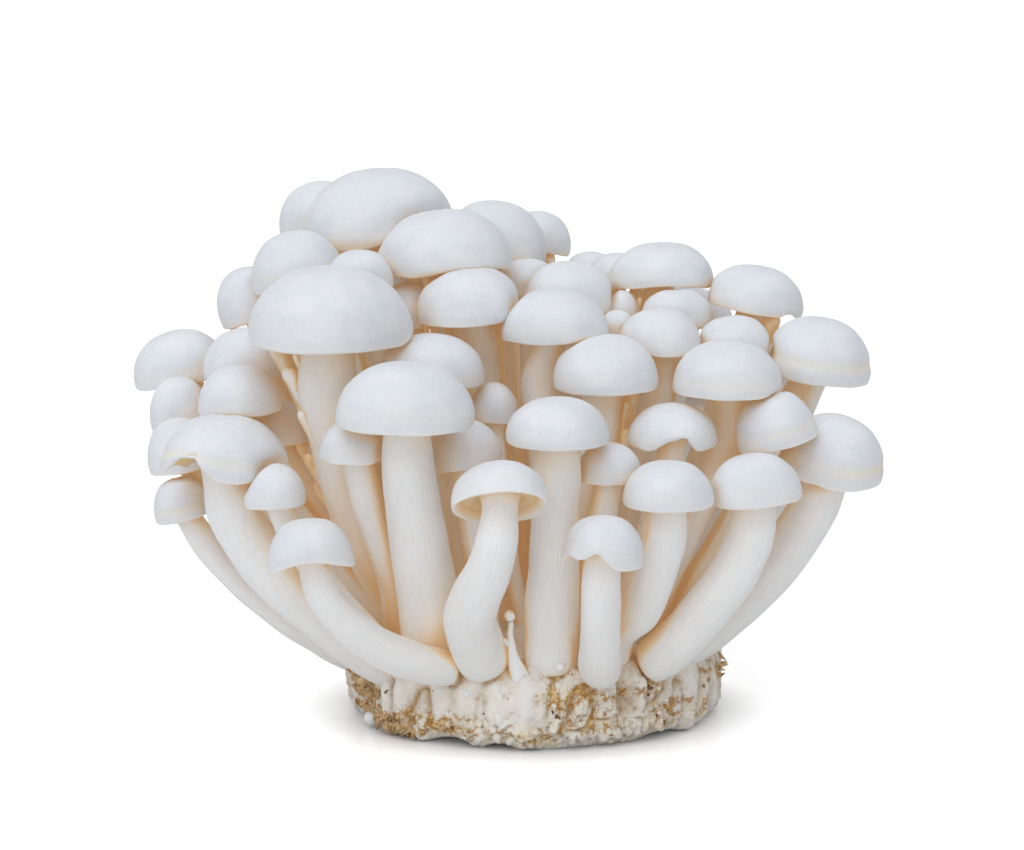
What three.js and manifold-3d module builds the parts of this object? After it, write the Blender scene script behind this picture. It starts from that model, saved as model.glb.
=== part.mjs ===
// Beech mushroom cluster: white caps on curved stems that fan out of a round
// base of felted mycelium. Millimetres, +Z up, -Y towards the viewer. The origin
// is the centre of the base's flat underside.
import * as THREE from 'three';
import Module from 'manifold-3d';

// Base plug
const BASE_RADIUS_X = 30.5;
const BASE_RADIUS_Y = 28.5;
const BASE_FOOT_INSET = 2.0;
const BASE_RIM_HEIGHT = 10.9;
const BASE_CROWN_HEIGHT = 16;
const BASE_SIDES = 54;
const RIB_COUNT = 21;
const RIB_DEPTH = 0.7;
const SOCKET_CLEARANCE = 0.42;
const FOOT_DEPTH = 3.0;

// Mushrooms
const FOOT_SPREAD = 0.45;
const FOOT_LIMIT = 25.5;
const FOOT_SPACING = 1.5;
const SPINE_STEPS = 12;
const STEM_RINGS = 6;
const STEM_GAP = 0.8;
const CAP_GAP = 0.75;
const GILL_RELIEF = 0.35;
const SPREAD_ROUNDS = 160;

// Cap outline from under the apex to the gills: radius as a share of the cap's
// radius, and height as a share of the cap's height.
const CAP_OUTLINE = [
  [0.54, 0.89],
  [0.87, 0.59],
  [1.00, 0.25],
  [0.93, 0.015],
  [0.60, 0.09],
];
const STEM_TOP_HEIGHT = 0.15;

const UP = new THREE.Vector3(0, 0, 1);
const WHITE_FLESH = { color: 0xf4f1ec, roughness: 0.55, metalness: 0 };
const FELTED_BASE = { color: 0xe6dcc8, roughness: 0.9, metalness: 0 };

// One row a mushroom: centre of the cap's rim, cap radius and height, then what
// differs from the usual: lean (degrees right, degrees towards the viewer), foot
// (x, y on the base), stem (radius under the cap, radius at the foot), sides,
// sweep (how low the stem leaves the base, 0 upright to 1 flat), sink (how deep the
// foot stands in the base), bow (sideways bend of the stem, x and y), firm (how much
// it resists being pushed aside), saddle (rim height change, side to front, in mm),
// notch (angle in degrees, half width in degrees, height in mm) and oval.
const MUSHROOMS = [
  // Front row, left to right
  grow('front_01', [-58, -9, 35], 4.8, 6.8,
    { lean: [-14, 0], foot: [-25.5, -6.5], stem: [2.2, 2.5], sides: 14, sweep: 0.8 }),
  grow('front_02', [-58.5, -5.5, 42.5], 5.7, 8.6,
    { lean: [-10, 0], foot: [-25, -0.5], stem: [2.4, 2.5], sides: 14, sweep: 0.7 }),
  grow('front_03', [-50.5, -22, 44.5], 9.9, 9.8,
    { lean: [4, 2], foot: [-23, -16.5], stem: [4.2, 4.0], sides: 20, sweep: 0.65, sink: 0.6,
      firm: 0.95, saddle: 0.6, notch: [222, 30, 3.0], oval: 0.05 }),
  grow('front_04', [-35.5, -38, 33.5], 6.8, 7.0,
    { lean: [-6, 0], foot: [-14, -26.5], stem: [2.6, 3.1], sides: 16, sweep: 0.95, sink: -1.8,
      firm: 0.95, saddle: 1.1 }),
  grow('front_05', [-20.5, -32, 54.5], 10.8, 10.2,
    { foot: [-16.5, -19.5], stem: [4.1, 4.9], sides: 18, sweep: 0.2, sink: 1, firm: 1 }),
  grow('front_06', [-5.5, -44, 43.5], 7.6, 7.2,
    { lean: [-3, -30], foot: [-8, -25.5], stem: [3.1, 4.4], sides: 24, sweep: 0.35, sink: -0.8,
      bow: [-3.6, 0], firm: 0.95 }),
  grow('front_07', [3.5, -31, 51.5], 8.1, 7.2,
    { foot: [2.5, -24.5], stem: [3.6, 4.4], sides: 18, sweep: 0.2, sink: 1, firm: 1 }),
  grow('front_08', [10.5, -41, 34], 6.4, 7.6,
    { lean: [4, 0], foot: [10.5, -27.5], stem: [2.8, 3.5], sides: 18, sweep: 0.7, sink: -0.6,
      firm: 1, notch: [262, 26, 2.6] }),
  grow('front_09', [21, -34, 42], 7.1, 7.0,
    { foot: [14, -20.5], stem: [3.3, 3.5], sides: 16, sweep: 0.55, sink: -0.5, firm: 0.95 }),
  grow('front_10', [35.5, -28, 41.5], 7.3, 7.6,
    { lean: [-5, 0], foot: [18.5, -22], stem: [3.6, 4.0], sides: 16, sweep: 0.7, sink: -1.2,
      firm: 0.95 }),
  grow('front_11', [48.5, -12, 42.5], 8.2, 10.4,
    { lean: [10, 4], foot: [22, -13], stem: [4.1, 4.0], sides: 16, sweep: 0.65, sink: 0.8,
      firm: 0.9, saddle: -0.7, oval: 0.05 }),

  // Middle rows, behind the front ones
  grow('middle_01', [-41.5, -29, 41], 4.8, 6.6,
    { lean: [-4, 0], foot: [-21.5, -19.5], stem: [2.3, 2.1], sink: 0 }),
  grow('middle_02', [-29, -27, 48], 5.5, 6.4,
    { foot: [-18, -11.5], stem: [2.8, 2.2], sweep: 0.1 }),
  grow('middle_03', [-33.5, -14, 65], 13.2, 12.5,
    { foot: [-15.5, -7.5], stem: [4.8, 3.9], sides: 18, sweep: 0.85, sink: 2, bow: [-1.5, 0],
      firm: 0.95 }),
  grow('middle_04', [-43, -3, 46.5], 5.8, 7.0, { lean: [-5, 0] }),
  grow('middle_05', [-11.5, -20, 46], 6.3, 7.2, { lean: [-10, 0], foot: [-7, -15.5] }),
  grow('middle_06', [12, -26, 44.5], 5.2, 6.0, { foot: [8, -19], stem: [2.4, 2.4] }),
  grow('middle_07', [22.5, -19, 49], 7.2, 6.6,
    { foot: [12.5, -12.5], stem: [2.6, 2.4], sides: 18, notch: [270, 30, 2.2] }),
  grow('middle_08', [40, -18, 49], 6.5, 8.6, { lean: [-15, 0], foot: [22.5, -7.5] }),
  grow('middle_09', [31.5, -15, 57], 8.8, 8.4, { stem: [3.2, 2.7] }),
  grow('middle_10', [11.5, -14, 57.5], 8.5, 8.8, { stem: [3.1, 2.6], foot: [5.5, -12.5] }),
  grow('middle_11', [-7, -10, 51.5], 4.0, 6.2, { lean: [5, 0] }),
  grow('middle_12', [-17, -12, 58.5], 8.6, 7.6, { lean: [3, 0], foot: [-12, -9.5] }),
  grow('middle_13', [3.5, -6, 64.5], 8.9, 8.2, { stem: [3.2, 2.6] }),
  grow('middle_14', [-10.5, -2, 67], 8.7, 9.2, { lean: [-3, 0], stem: [3.5, 2.8] }),
  grow('middle_15', [-21, 5, 65], 5.2, 7.4, {}),
  grow('middle_16', [-48.5, -11, 53], 6.8, 7.7, { lean: [-3, 0] }),
  grow('middle_17', [-48, 2, 57], 7.4, 8.0, { lean: [-8, 0] }),
  grow('middle_18', [-59, 3, 48], 5.3, 8.6, { lean: [-12, 0] }),
  grow('middle_19', [-60, 12.5, 54.5], 8.0, 8.6, { lean: [-10, 0]}),
  grow('middle_20', [21, -4, 62], 6.9, 7.2, {}),
  grow('middle_21', [33.5, -1, 60.5], 6.5, 7.0, { lean: [4, 0] }),
  grow('middle_22', [47, -1, 57.5], 8.9, 9.8, { lean: [8, 3], sides: 18, stem: [3.3, 2.8] }),
  grow('middle_23', [24, 7, 65], 5.9, 6.4, {}),
  grow('middle_24', [14, 2, 64], 3.0, 4.0, {}),

  // Crown
  grow('crown_01', [6, 9, 67.5], 7.7, 7.8, { lean: [3, 0] }),
  grow('crown_02', [22, 15.5, 70.5], 9.1, 7.2, { saddle: 0.8 }),
  grow('crown_03', [37.5, 11, 67], 8.2, 7.4, { lean: [10, 0]}),
  grow('crown_04', [14.5, 25.5, 69.5], 5.0, 5.2, {}),
  grow('crown_05', [10, 35, 69.5], 4.4, 4.2, {}),
  grow('crown_06', [14.5, 9.5, 65.5], 3.4, 4.9, {}),
  grow('crown_07', [-1, 16.5, 68.5], 5.4, 6.4, {}),
  grow('crown_08', [-15, 8.5, 74], 11.3, 10.2, { lean: [-3, 0], sides: 18, stem: [3.6, 3.0] }),
  grow('crown_09', [-29, 0, 72], 5.7, 6.4, { foot: [-13, -3] }),
  grow('crown_10', [-39.5, 8, 71.5], 7.8, 9.2, { lean: [-12, 0] }),
  grow('crown_11', [-47.5, 14, 65], 6.0, 9.0, { lean: [-18, 0] }),
  grow('crown_12', [-26.5, 21.5, 78], 12.7, 11.8, { lean: [-6, 3], sides: 18, stem: [3.8, 3.0] }),
  grow('crown_13', [-37, 34, 77.5], 7.2, 8.8, { lean: [-12, 0] }),
  grow('crown_14', [-7, 27, 73.5], 9.0, 10.2, { lean: [6, 0] }),
  grow('crown_15', [0.8, 38.5, 73.5], 5.7, 7.0, { lean: [10, -4] }),

  // Back, out of sight in the photo, filled on the same dome
  grow('back_01', [-47, 28, 45], 9.4, 9.0,
    { lean: [-7, -6], foot: [-22, 12.5], stem: [3.6, 3.5], sweep: 0.7 }),
  grow('back_02', [-30, 42, 54], 10.8, 10.2,
    { lean: [-3, -7], foot: [-15.5, 19.5], stem: [4.0, 3.8], sweep: 0.6 }),
  grow('back_03', [-11, 48, 43], 9.8, 9.2,
    { lean: [0, -10], foot: [-6, 24], stem: [3.7, 3.6], sweep: 0.75 }),
  grow('back_04', [9, 47, 54.5], 10.6, 9.8,
    { lean: [0, -8], foot: [3.5, 22.5], stem: [4.0, 3.8], sweep: 0.6 }),
  grow('back_05', [28, 41, 45], 9.6, 9.0,
    { lean: [5, -8], foot: [12.5, 21.5], stem: [3.7, 3.6], sweep: 0.75 }),
  grow('back_06', [42, 26.5, 52], 9.4, 9.0,
    { lean: [7, -4], foot: [20, 13], stem: [3.6, 3.5], sweep: 0.65 }),
  grow('back_07', [45, 13, 40.5], 7.2, 7.4,
    { lean: [6, 0], foot: [24, 5], stem: [2.8, 2.8], sweep: 0.75 }),
  grow('back_08', [-17, 35, 65], 9.0, 8.6, { lean: [0, -5], stem: [3.4, 2.8] }),
  grow('back_09', [26.5, 28, 61.5], 8.2, 7.0, { lean: [3, -5], stem: [3.1, 2.6] }),
];

function grow(name, rim, radius, height, options) {
  const sides = options.sides ?? (radius < 7.9 ? 12 : 14);
  const stem = options.stem ?? [Math.min(3.1, 0.4 * radius), Math.min(2.2, 0.32 * radius)];
  return {
    name, radius, height, sides,
    rim: new THREE.Vector3(...rim),
    lean: options.lean ?? [0, 0],
    foot: options.foot,
    stemTop: stem[0],
    stemFoot: stem[1],
    sweep: options.sweep ?? 0.5,
    sink: options.sink ?? FOOT_DEPTH,
    bow: options.bow ?? [0, 0],
    firm: options.firm ?? 0,
    saddle: options.saddle ?? 0,
    notch: options.notch,
    oval: options.oval ?? 0,
  };
}

// A small repeatable unevenness, so that no two mushrooms are quite alike
function uneven(seed, k) {
  return Math.sin(12.9 * seed + 4.7 * k) * Math.cos(3.1 * seed - 7.3 * k);
}

// Height of the base's top at a point, and its outline radius at an angle
function baseOutline(angle) {
  const oval = Math.hypot(BASE_RADIUS_X * Math.cos(angle), BASE_RADIUS_Y * Math.sin(angle));
  return oval + 0.8 * Math.max(0, -Math.cos(angle)) + 0.4 * Math.sin(3 * angle + 0.8)
    + 0.35 * Math.sin(7 * angle);
}

function baseRimHeight(angle) {
  return BASE_RIM_HEIGHT - 1.9 * Math.max(0, -Math.cos(angle)) - 1.3 * Math.sin(angle)
    + 0.4 * Math.sin(9 * angle + 1);
}

function baseTop(x, y) {
  const angle = Math.atan2(y, x);
  const share = Math.min(1, Math.hypot(x, y) / baseOutline(angle));
  return BASE_CROWN_HEIGHT + (baseRimHeight(angle) - BASE_CROWN_HEIGHT) * share ** 3;
}

// Set every cap's axes and every foot. A foot with no place of its own stands
// inward of its cap, and crowded feet are moved apart.
function placeCapsAndFeet(mushrooms) {
  for (const m of mushrooms) {
    const right = Math.tan(THREE.MathUtils.degToRad(m.lean[0]));
    const forward = Math.tan(THREE.MathUtils.degToRad(m.lean[1]));
    m.axis = new THREE.Vector3(right, -forward, 1).normalize();
    m.side = new THREE.Vector3(1, 0, 0).addScaledVector(m.axis, -m.axis.x).normalize();
    m.front = m.axis.clone().cross(m.side);
    m.fixedFoot = Boolean(m.foot);
    const foot = m.foot ?? [m.rim.x * FOOT_SPREAD, m.rim.y * FOOT_SPREAD];
    m.base = new THREE.Vector3(foot[0], foot[1], 0);
  }
  for (let round = 0; round < SPREAD_ROUNDS; round++) {
    for (const a of mushrooms) {
      for (const b of mushrooms) {
        if (a.name >= b.name || (a.fixedFoot && b.fixedFoot)) continue;
        const apart = b.base.clone().sub(a.base);
        const distance = Math.max(apart.length(), 0.01);
        const wanted = a.stemFoot + b.stemFoot + FOOT_SPACING;
        if (distance >= wanted) continue;
        apart.multiplyScalar((wanted - distance) / distance / 2);
        if (!b.fixedFoot) b.base.add(apart);
        if (!a.fixedFoot) a.base.sub(apart);
      }
    }
    for (const m of mushrooms) {
      const reach = m.base.length();
      if (!m.fixedFoot && reach > FOOT_LIMIT) m.base.multiplyScalar(FOOT_LIMIT / reach);
    }
  }
  for (const m of mushrooms) m.base.z = baseTop(m.base.x, m.base.y) - m.sink;
}

// The stem's centre line: it leaves the foot outwards and turns up under the cap
function drawSpines(mushrooms) {
  for (const m of mushrooms) {
    const top = m.rim.clone().addScaledVector(m.axis, STEM_TOP_HEIGHT * m.height);
    const rise = top.z - m.base.z;
    const out = top.clone().sub(m.base).setZ(0);
    const low = m.base.clone().addScaledVector(out, 0.75 * m.sweep);
    low.z += rise * (0.42 - 0.22 * m.sweep);
    const high = top.clone().addScaledVector(m.axis, -0.36 * rise / m.axis.z);
    const curve = new THREE.CubicBezierCurve3(m.base, low, high, top);
    m.spine = curve.getSpacedPoints(SPINE_STEPS);
    m.spine.forEach((p, k) => {
      const bulge = Math.sin(Math.PI * (k / SPINE_STEPS) ** 0.7) ** 2;
      p.x += m.bow[0] * bulge;
      p.y += m.bow[1] * bulge;
    });
  }
}

function stemRadius(m, step) {
  const share = step / SPINE_STEPS;
  return m.stemFoot + (m.stemTop - m.stemFoot) * share ** 1.3;
}

// Move crowded stems apart, the middles most and the two ends not at all, and
// away from caps that they would run through
function spreadStems(mushrooms) {
  const give = (m, k) => (1 - m.firm) * Math.min(1, 3.6 * (k / SPINE_STEPS) * (1 - k / SPINE_STEPS));
  for (let round = 0; round < SPREAD_ROUNDS; round++) {
    for (const a of mushrooms) {
      for (const b of mushrooms) {
        if (a === b || a.rim.distanceTo(b.rim) > 60) continue;
        for (let k = 1; k < SPINE_STEPS; k++) {
          if (a.name < b.name) pushStems(a, b, k, give);
          pushFromCap(a, b, k, give);
        }
      }
    }
    for (const m of mushrooms) smoothSpine(m, give);
  }
}

function pushStems(a, b, k, give) {
  const p = a.spine[k];
  let near = 0;
  for (let j = 1; j < SPINE_STEPS; j++) {
    if (b.spine[j].distanceTo(p) < b.spine[near].distanceTo(p)) near = j;
  }
  const line = b.spine[Math.min(near + 1, SPINE_STEPS)].clone().sub(b.spine[Math.max(near - 1, 0)]);
  line.normalize();
  const apart = p.clone().sub(b.spine[near]);
  apart.addScaledVector(line, -apart.dot(line));
  const distance = Math.max(apart.length(), 0.05);
  const wanted = stemRadius(a, k) + stemRadius(b, near) + STEM_GAP;
  if (distance >= wanted || p.distanceTo(b.spine[near]) > wanted + 4) return;
  const moveA = give(a, k);
  const moveB = give(b, near);
  if (moveA + moveB === 0) return;
  apart.multiplyScalar(0.5 * (wanted - distance) / distance / (moveA + moveB));
  p.addScaledVector(apart, moveA);
  b.spine[near].addScaledVector(apart, -moveB);
}

function pushFromCap(stemOwner, capOwner, k, give) {
  const p = stemOwner.spine[k];
  const wanted = stemRadius(stemOwner, k) + STEM_GAP;
  const depth = wanted - capDistance(capOwner, p);
  if (depth <= 0) return;
  const away = p.clone().sub(capOwner.rim);
  away.addScaledVector(capOwner.axis, -away.dot(capOwner.axis)).setZ(0).normalize();
  p.addScaledVector(away, 0.4 * depth * give(stemOwner, k));
}

function smoothSpine(m, give) {
  for (let k = 1; k < SPINE_STEPS; k++) {
    const middle = m.spine[k - 1].clone().add(m.spine[k + 1]).multiplyScalar(0.5);
    const bend = middle.sub(m.spine[k]).multiplyScalar(0.12 * give(m, k));
    m.spine[k].add(bend.clone().setZ(0.3 * bend.z));
  }
}

// Distance from a cap's or a stem's plain form, below zero inside it
function capDistance(m, p) {
  const from = p.clone().sub(m.rim);
  const height = from.dot(m.axis);
  const reach = from.addScaledVector(m.axis, -height).length();
  const widest = 0.25 * m.height;
  const above = height > widest;
  const half = above ? m.height - widest : widest + 0.4;
  const power = above ? 2.2 : 4;
  const size = ((reach / m.radius) ** power + (Math.abs(height - widest) / half) ** power) ** (1 / power);
  return (size - 1) * Math.min(m.radius, half + 1.5);
}

function stemDistance(m, p) {
  let least = Infinity;
  const closest = new THREE.Vector3();
  for (let k = 0; k < SPINE_STEPS; k++) {
    const segment = new THREE.Line3(m.spine[k], m.spine[k + 1]);
    const share = segment.closestPointToPointParameter(p, true);
    segment.at(share, closest);
    least = Math.min(least, closest.distanceTo(p) - stemRadius(m, k + share));
  }
  return least;
}

// Rings of points from under the apex down to the foot, each with its middle
function drawRings(m, index) {
  m.rings = [];
  const top = m.rim.clone().addScaledVector(m.axis, m.height);
  m.apex = top;
  m.core = m.rim.clone().addScaledVector(m.axis, 0.3 * m.height);
  CAP_OUTLINE.forEach(([radiusShare, heightShare], level) => {
    const ring = [];
    for (let i = 0; i < m.sides; i++) {
      const angle = 2 * Math.PI * i / m.sides;
      const wobble = 1 + m.oval * Math.cos(2 * angle) + 0.02 * Math.sin(3 * angle + index)
        + 0.015 * uneven(index, i);
      const reach = m.radius * radiusShare * wobble;
      const low = Math.min(1, level / 2);
      let height = m.height * heightShare - m.saddle * low * Math.cos(2 * angle);
      height += notchLift(m, angle) * [0, 0.15, 0.6, 1, 1][level];
      if (level === 4) height += GILL_RELIEF * (i % 2 === 0 ? 1 : -1);
      ring.push(capPoint(m, reach, angle, height));
    }
    m.rings.push({ points: ring, middle: m.core, cap: true });
  });
  let side = m.side.clone();
  for (let level = STEM_RINGS; level >= 0; level--) {
    const step = level * SPINE_STEPS / STEM_RINGS;
    const along = spineDirection(m, step);
    side = side.clone().addScaledVector(along, -side.dot(along)).normalize();
    const front = along.clone().cross(side);
    const ring = [];
    const count = m.sides / 2;
    for (let i = 0; i < count; i++) {
      const angle = 2 * Math.PI * i / count;
      const wobble = 1 + 0.04 * Math.cos(2 * angle + index + level) + 0.02 * uneven(index + level, i);
      const reach = stemRadius(m, step) * wobble * (level === 0 ? 0.8 : 1);
      ring.push(m.spine[step].clone()
        .addScaledVector(side, reach * Math.cos(angle))
        .addScaledVector(front, reach * Math.sin(angle)));
    }
    m.rings.push({ points: ring, middle: m.spine[step], cap: false });
  }
  const down = m.spine[0].clone().sub(m.spine[1]).normalize();
  m.tip = m.spine[0].clone().addScaledVector(down, 0.25 * m.stemFoot);
}

// Direction of the stem's centre line, which meets the cap along the cap's axis
function spineDirection(m, step) {
  if (step === SPINE_STEPS) return m.axis.clone();
  return m.spine[step + 1].clone().sub(m.spine[Math.max(step - 1, 0)]).normalize();
}

function capPoint(m, reach, angle, height) {
  return m.rim.clone()
    .addScaledVector(m.side, reach * Math.cos(angle))
    .addScaledVector(m.front, reach * Math.sin(angle))
    .addScaledVector(m.axis, height);
}

function notchLift(m, angle) {
  if (!m.notch) return 0;
  const [middle, half, height] = m.notch;
  const turn = THREE.MathUtils.radToDeg(angle) - middle;
  const off = Math.abs(((turn % 360) + 540) % 360 - 180) / half;
  return off < 1 ? height * (1 - off) : 0;
}

// Where a cap or stem presses on a neighbour, draw its surface in until both
// lie flat against each other with a gap. A cap gives way to stems altogether.
function pressTogether(mushrooms) {
  for (const m of mushrooms) {
    m.neighbours = mushrooms.filter((n) => n !== m && crowded(m, n));
  }
  for (const m of mushrooms) {
    m.apex = drawIn(m, m.apex, m.core, true);
    for (const ring of m.rings) {
      ring.points = ring.points.map((p) => drawIn(m, p, ring.middle, ring.cap));
    }
  }
}

function crowded(m, n) {
  return m.rim.distanceTo(n.rim) < m.radius + n.radius + 70;
}

function drawIn(m, point, middle, isCap) {
  const p = new THREE.Vector3();
  for (let share = 1; share > 0.25; share -= 0.025) {
    p.lerpVectors(middle, point, share);
    if (clearOfAll(m, p, isCap)) return p.clone();
  }
  return p.clone();
}

function clearOfAll(m, p, isCap) {
  const own = isCap ? capDistance(m, p) : stemDistance(m, p);
  for (const n of m.neighbours) {
    if (isCap) {
      if (stemDistance(n, p) < CAP_GAP) return false;
      if (capDistance(n, p) - Math.min(0, own) < CAP_GAP) return false;
    } else if (stemDistance(n, p) - Math.min(0, own) < STEM_GAP) return false;
  }
  return true;
}

// Join the rings into one closed surface, faces out. The cap's last ring has
// twice as many points as the stem's first.
function skin(m) {
  const points = [m.apex];
  const faces = [];
  const starts = [];
  for (const ring of m.rings) {
    starts.push(points.length);
    points.push(...ring.points);
  }
  points.push(m.tip);
  const n = m.sides;
  for (let i = 0; i < n; i++) faces.push(0, starts[0] + i, starts[0] + (i + 1) % n);
  for (let r = 0; r + 1 < m.rings.length; r++) {
    const upper = m.rings[r].points.length;
    const lower = m.rings[r + 1].points.length;
    const a = starts[r];
    const b = starts[r + 1];
    for (let i = 0; i < lower; i++) {
      const next = (i + 1) % lower;
      if (upper === lower) {
        faces.push(a + i, b + i, b + next, a + i, b + next, a + next);
      } else {
        const mid = a + 2 * i + 1;
        faces.push(a + 2 * i, b + i, mid, mid, b + i, b + next, mid, b + next, a + (2 * i + 2) % upper);
      }
    }
  }
  const last = starts[starts.length - 1];
  const count = n / 2;
  for (let i = 0; i < count; i++) faces.push(points.length - 1, last + (i + 1) % count, last + i);
  return { points, faces };
}

// The base: a round plug with folded ribs, a flat underside whose edge is lifted
// in places, and a domed top
function basePlug() {
  const rows = [
    { share: 1 - 1.6 * BASE_FOOT_INSET / BASE_RADIUS_X, height: () => 0 },
    { share: 1 - BASE_FOOT_INSET / BASE_RADIUS_X, height: (a) => 0.5 + edgeLift(a), rib: 0.5 },
    { share: 0.995, height: (a) => 0.36 * baseRimHeight(a), rib: 1 },
    { share: 1.0, height: (a) => 0.74 * baseRimHeight(a), rib: 1 },
    { share: 0.955, height: (a) => baseRimHeight(a), rib: 0.5 },
  ];
  const points = [new THREE.Vector3(0, 0, 0)];
  const faces = [];
  rows.forEach((row, level) => {
    for (let i = 0; i < BASE_SIDES; i++) {
      const angle = 2 * Math.PI * i / BASE_SIDES;
      let reach = baseOutline(angle) * row.share;
      const fold = Math.sin(RIB_COUNT * angle + 1.5 * Math.sin(5 * angle) + 0.5 * level);
      reach += (row.rib ?? 0) * RIB_DEPTH * fold;
      if (row.rib) reach += 0.45 * uneven(level + 3, i);
      points.push(new THREE.Vector3(reach * Math.cos(angle), reach * Math.sin(angle), row.height(angle)));
    }
  });
  const n = BASE_SIDES;
  const innerStart = points.length;
  for (let i = 0; i < n / 3; i++) {
    const angle = 2 * Math.PI * (3 * i + 1.5) / n;
    const reach = 0.66 * baseOutline(angle);
    const x = reach * Math.cos(angle);
    const y = reach * Math.sin(angle);
    points.push(new THREE.Vector3(x, y, baseTop(x, y)));
  }
  points.push(new THREE.Vector3(0, 0, BASE_CROWN_HEIGHT));
  for (let i = 0; i < n; i++) {
    const next = (i + 1) % n;
    faces.push(0, 1 + next, 1 + i);
    for (let r = 0; r + 1 < rows.length; r++) {
      const a = 1 + r * n;
      const b = a + n;
      faces.push(a + i, a + next, b + next, a + i, b + next, b + i);
    }
    const inner = innerStart + Math.floor(i / 3);
    const last = 1 + (rows.length - 1) * n;
    faces.push(last + i, last + next, inner);
    if (i % 3 === 2) {
      const innerNext = innerStart + (Math.floor(i / 3) + 1) % (n / 3);
      faces.push(last + next, innerNext, inner, inner, innerNext, points.length - 1);
    }
  }
  return { points, faces };
}

// Arched gaps along the bottom edge, left of the front
function edgeLift(angle) {
  const degrees = (THREE.MathUtils.radToDeg(angle) + 360) % 360;
  const arch = (middle, half, height) => {
    const off = Math.abs(degrees - middle) / half;
    return off < 1 ? height * (1 - off * off) : 0;
  };
  return arch(240, 9, 1.3) + arch(258, 6, 0.9) + arch(200, 12, 1.0) + arch(318, 10, 0.8);
}

// Solid modelling helpers
const wasm = await Module();
wasm.setup();

function toSolid({ points, faces }) {
  const coordinates = new Float32Array(points.flatMap((p) => [p.x, p.y, p.z]));
  const mesh = new wasm.Mesh({
    numProp: 3, vertProperties: coordinates, triVerts: new Uint32Array(faces),
  });
  mesh.merge();
  return new wasm.Manifold(mesh);
}

function toGeometry(solid) {
  const mesh = solid.getMesh();
  const geometry = new THREE.BufferGeometry();
  geometry.setAttribute('position', new THREE.BufferAttribute(new Float32Array(mesh.vertProperties), 3));
  geometry.setIndex(new THREE.BufferAttribute(new Uint32Array(mesh.triVerts), 1));
  return geometry;
}

function ball(x, y, z, radius, detail) {
  const solid = wasm.Manifold.sphere(radius, detail);
  return solid.translate([x, y, z]);
}

// A tapering strand between two points
function strand(from, to, radiusFrom, radiusTo) {
  const line = to.clone().sub(from);
  const cone = wasm.Manifold.cylinder(line.length(), radiusFrom, radiusTo, 8);
  const turn = new THREE.Quaternion().setFromUnitVectors(UP, line.normalize());
  const matrix = new THREE.Matrix4().compose(from, turn, new THREE.Vector3(1, 1, 1));
  return cone.transform(matrix.elements);
}

// Buds that never grew: a pin mushroom on a thin strand, round primordia, and a
// smooth cone low on the front
function buds() {
  const strandFoot = new THREE.Vector3(-3.6, -26.5, 9.5);
  const strandTop = new THREE.Vector3(-3.9, -28.6, 20.5);
  const pinTop = new THREE.Vector3(-3.7, -29.3, 23.8);
  return [
    strand(strandFoot, strandTop, 1.7, 0.5),
    strand(strandTop.clone().setZ(20), pinTop, 0.55, 0.4),
    ball(pinTop.x, pinTop.y, pinTop.z, 0.85, 8),
    ball(5.4, -29.4, 10.6, 0.85, 8),
    ball(-1.2, -28.9, 10.8, 0.6, 8),
    ball(-11.2, -27.9, 9.0, 0.75, 8),
    ball(-26.0, -11.0, 1.7, 1.3, 10),
    strand(new THREE.Vector3(-1.2, -26.2, 10.2), new THREE.Vector3(-1.2, -29.4, 4.2), 1.0, 1.5),
  ];
}

// The lower end of a stem with clearance all round, for cutting its plain hole
function socketCutter(m) {
  const cut = [];
  const reachUp = 2;
  let side = m.side.clone();
  for (let level = STEM_RINGS; level >= 0; level--) {
    const step = level * SPINE_STEPS / STEM_RINGS;
    const along = spineDirection(m, step);
    side = side.clone().addScaledVector(along, -side.dot(along)).normalize();
    if (level > reachUp) continue;
    const front = along.clone().cross(side);
    const ring = [];
    const middle = m.spine[step].clone();
    if (step === 0) middle.addScaledVector(along, -0.7 * SOCKET_CLEARANCE);
    for (let i = 0; i < m.sides / 2; i++) {
      const angle = 2 * Math.PI * i / (m.sides / 2);
      const reach = 1.05 * stemRadius(m, step) * (step === 0 ? 0.82 : 1) + SOCKET_CLEARANCE;
      ring.push(middle.clone()
        .addScaledVector(side, reach * Math.cos(angle))
        .addScaledVector(front, reach * Math.sin(angle)));
    }
    cut.push(ring);
  }
  const down = m.spine[0].clone().sub(m.spine[1]).normalize();
  const points = [m.spine[reachUp * SPINE_STEPS / STEM_RINGS].clone(), ...cut.flat()];
  points.push(m.spine[0].clone().addScaledVector(down, 0.25 * m.stemFoot + SOCKET_CLEARANCE));
  const faces = [];
  const n = m.sides / 2;
  for (let i = 0; i < n; i++) {
    const next = (i + 1) % n;
    faces.push(0, 1 + i, 1 + next);
    for (let r = 0; r + 1 < cut.length; r++) {
      const a = 1 + r * n;
      const b = a + n;
      faces.push(a + i, b + i, b + next, a + i, b + next, a + next);
    }
    const last = 1 + (cut.length - 1) * n;
    faces.push(points.length - 1, last + next, last + i);
  }
  return toSolid({ points, faces });
}

function addMesh(group, name, geometry, look) {
  geometry.computeVertexNormals();
  const mesh = new THREE.Mesh(geometry, new THREE.MeshStandardMaterial(look));
  mesh.name = name;
  group.add(mesh);
}

placeCapsAndFeet(MUSHROOMS);
drawSpines(MUSHROOMS);
spreadStems(MUSHROOMS);
MUSHROOMS.forEach(drawRings);
pressTogether(MUSHROOMS);

const group = new THREE.Group();
group.name = 'beech_mushroom_cluster';

const plug = wasm.Manifold.union([toSolid(basePlug()), ...buds()]);
const holes = wasm.Manifold.union(MUSHROOMS.map(socketCutter));
const pieces = plug.subtract(holes).simplify(0.05).decompose();
pieces.sort((a, b) => b.volume() - a.volume());
addMesh(group, 'base_mycelium', toGeometry(pieces[0]), FELTED_BASE);

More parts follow.
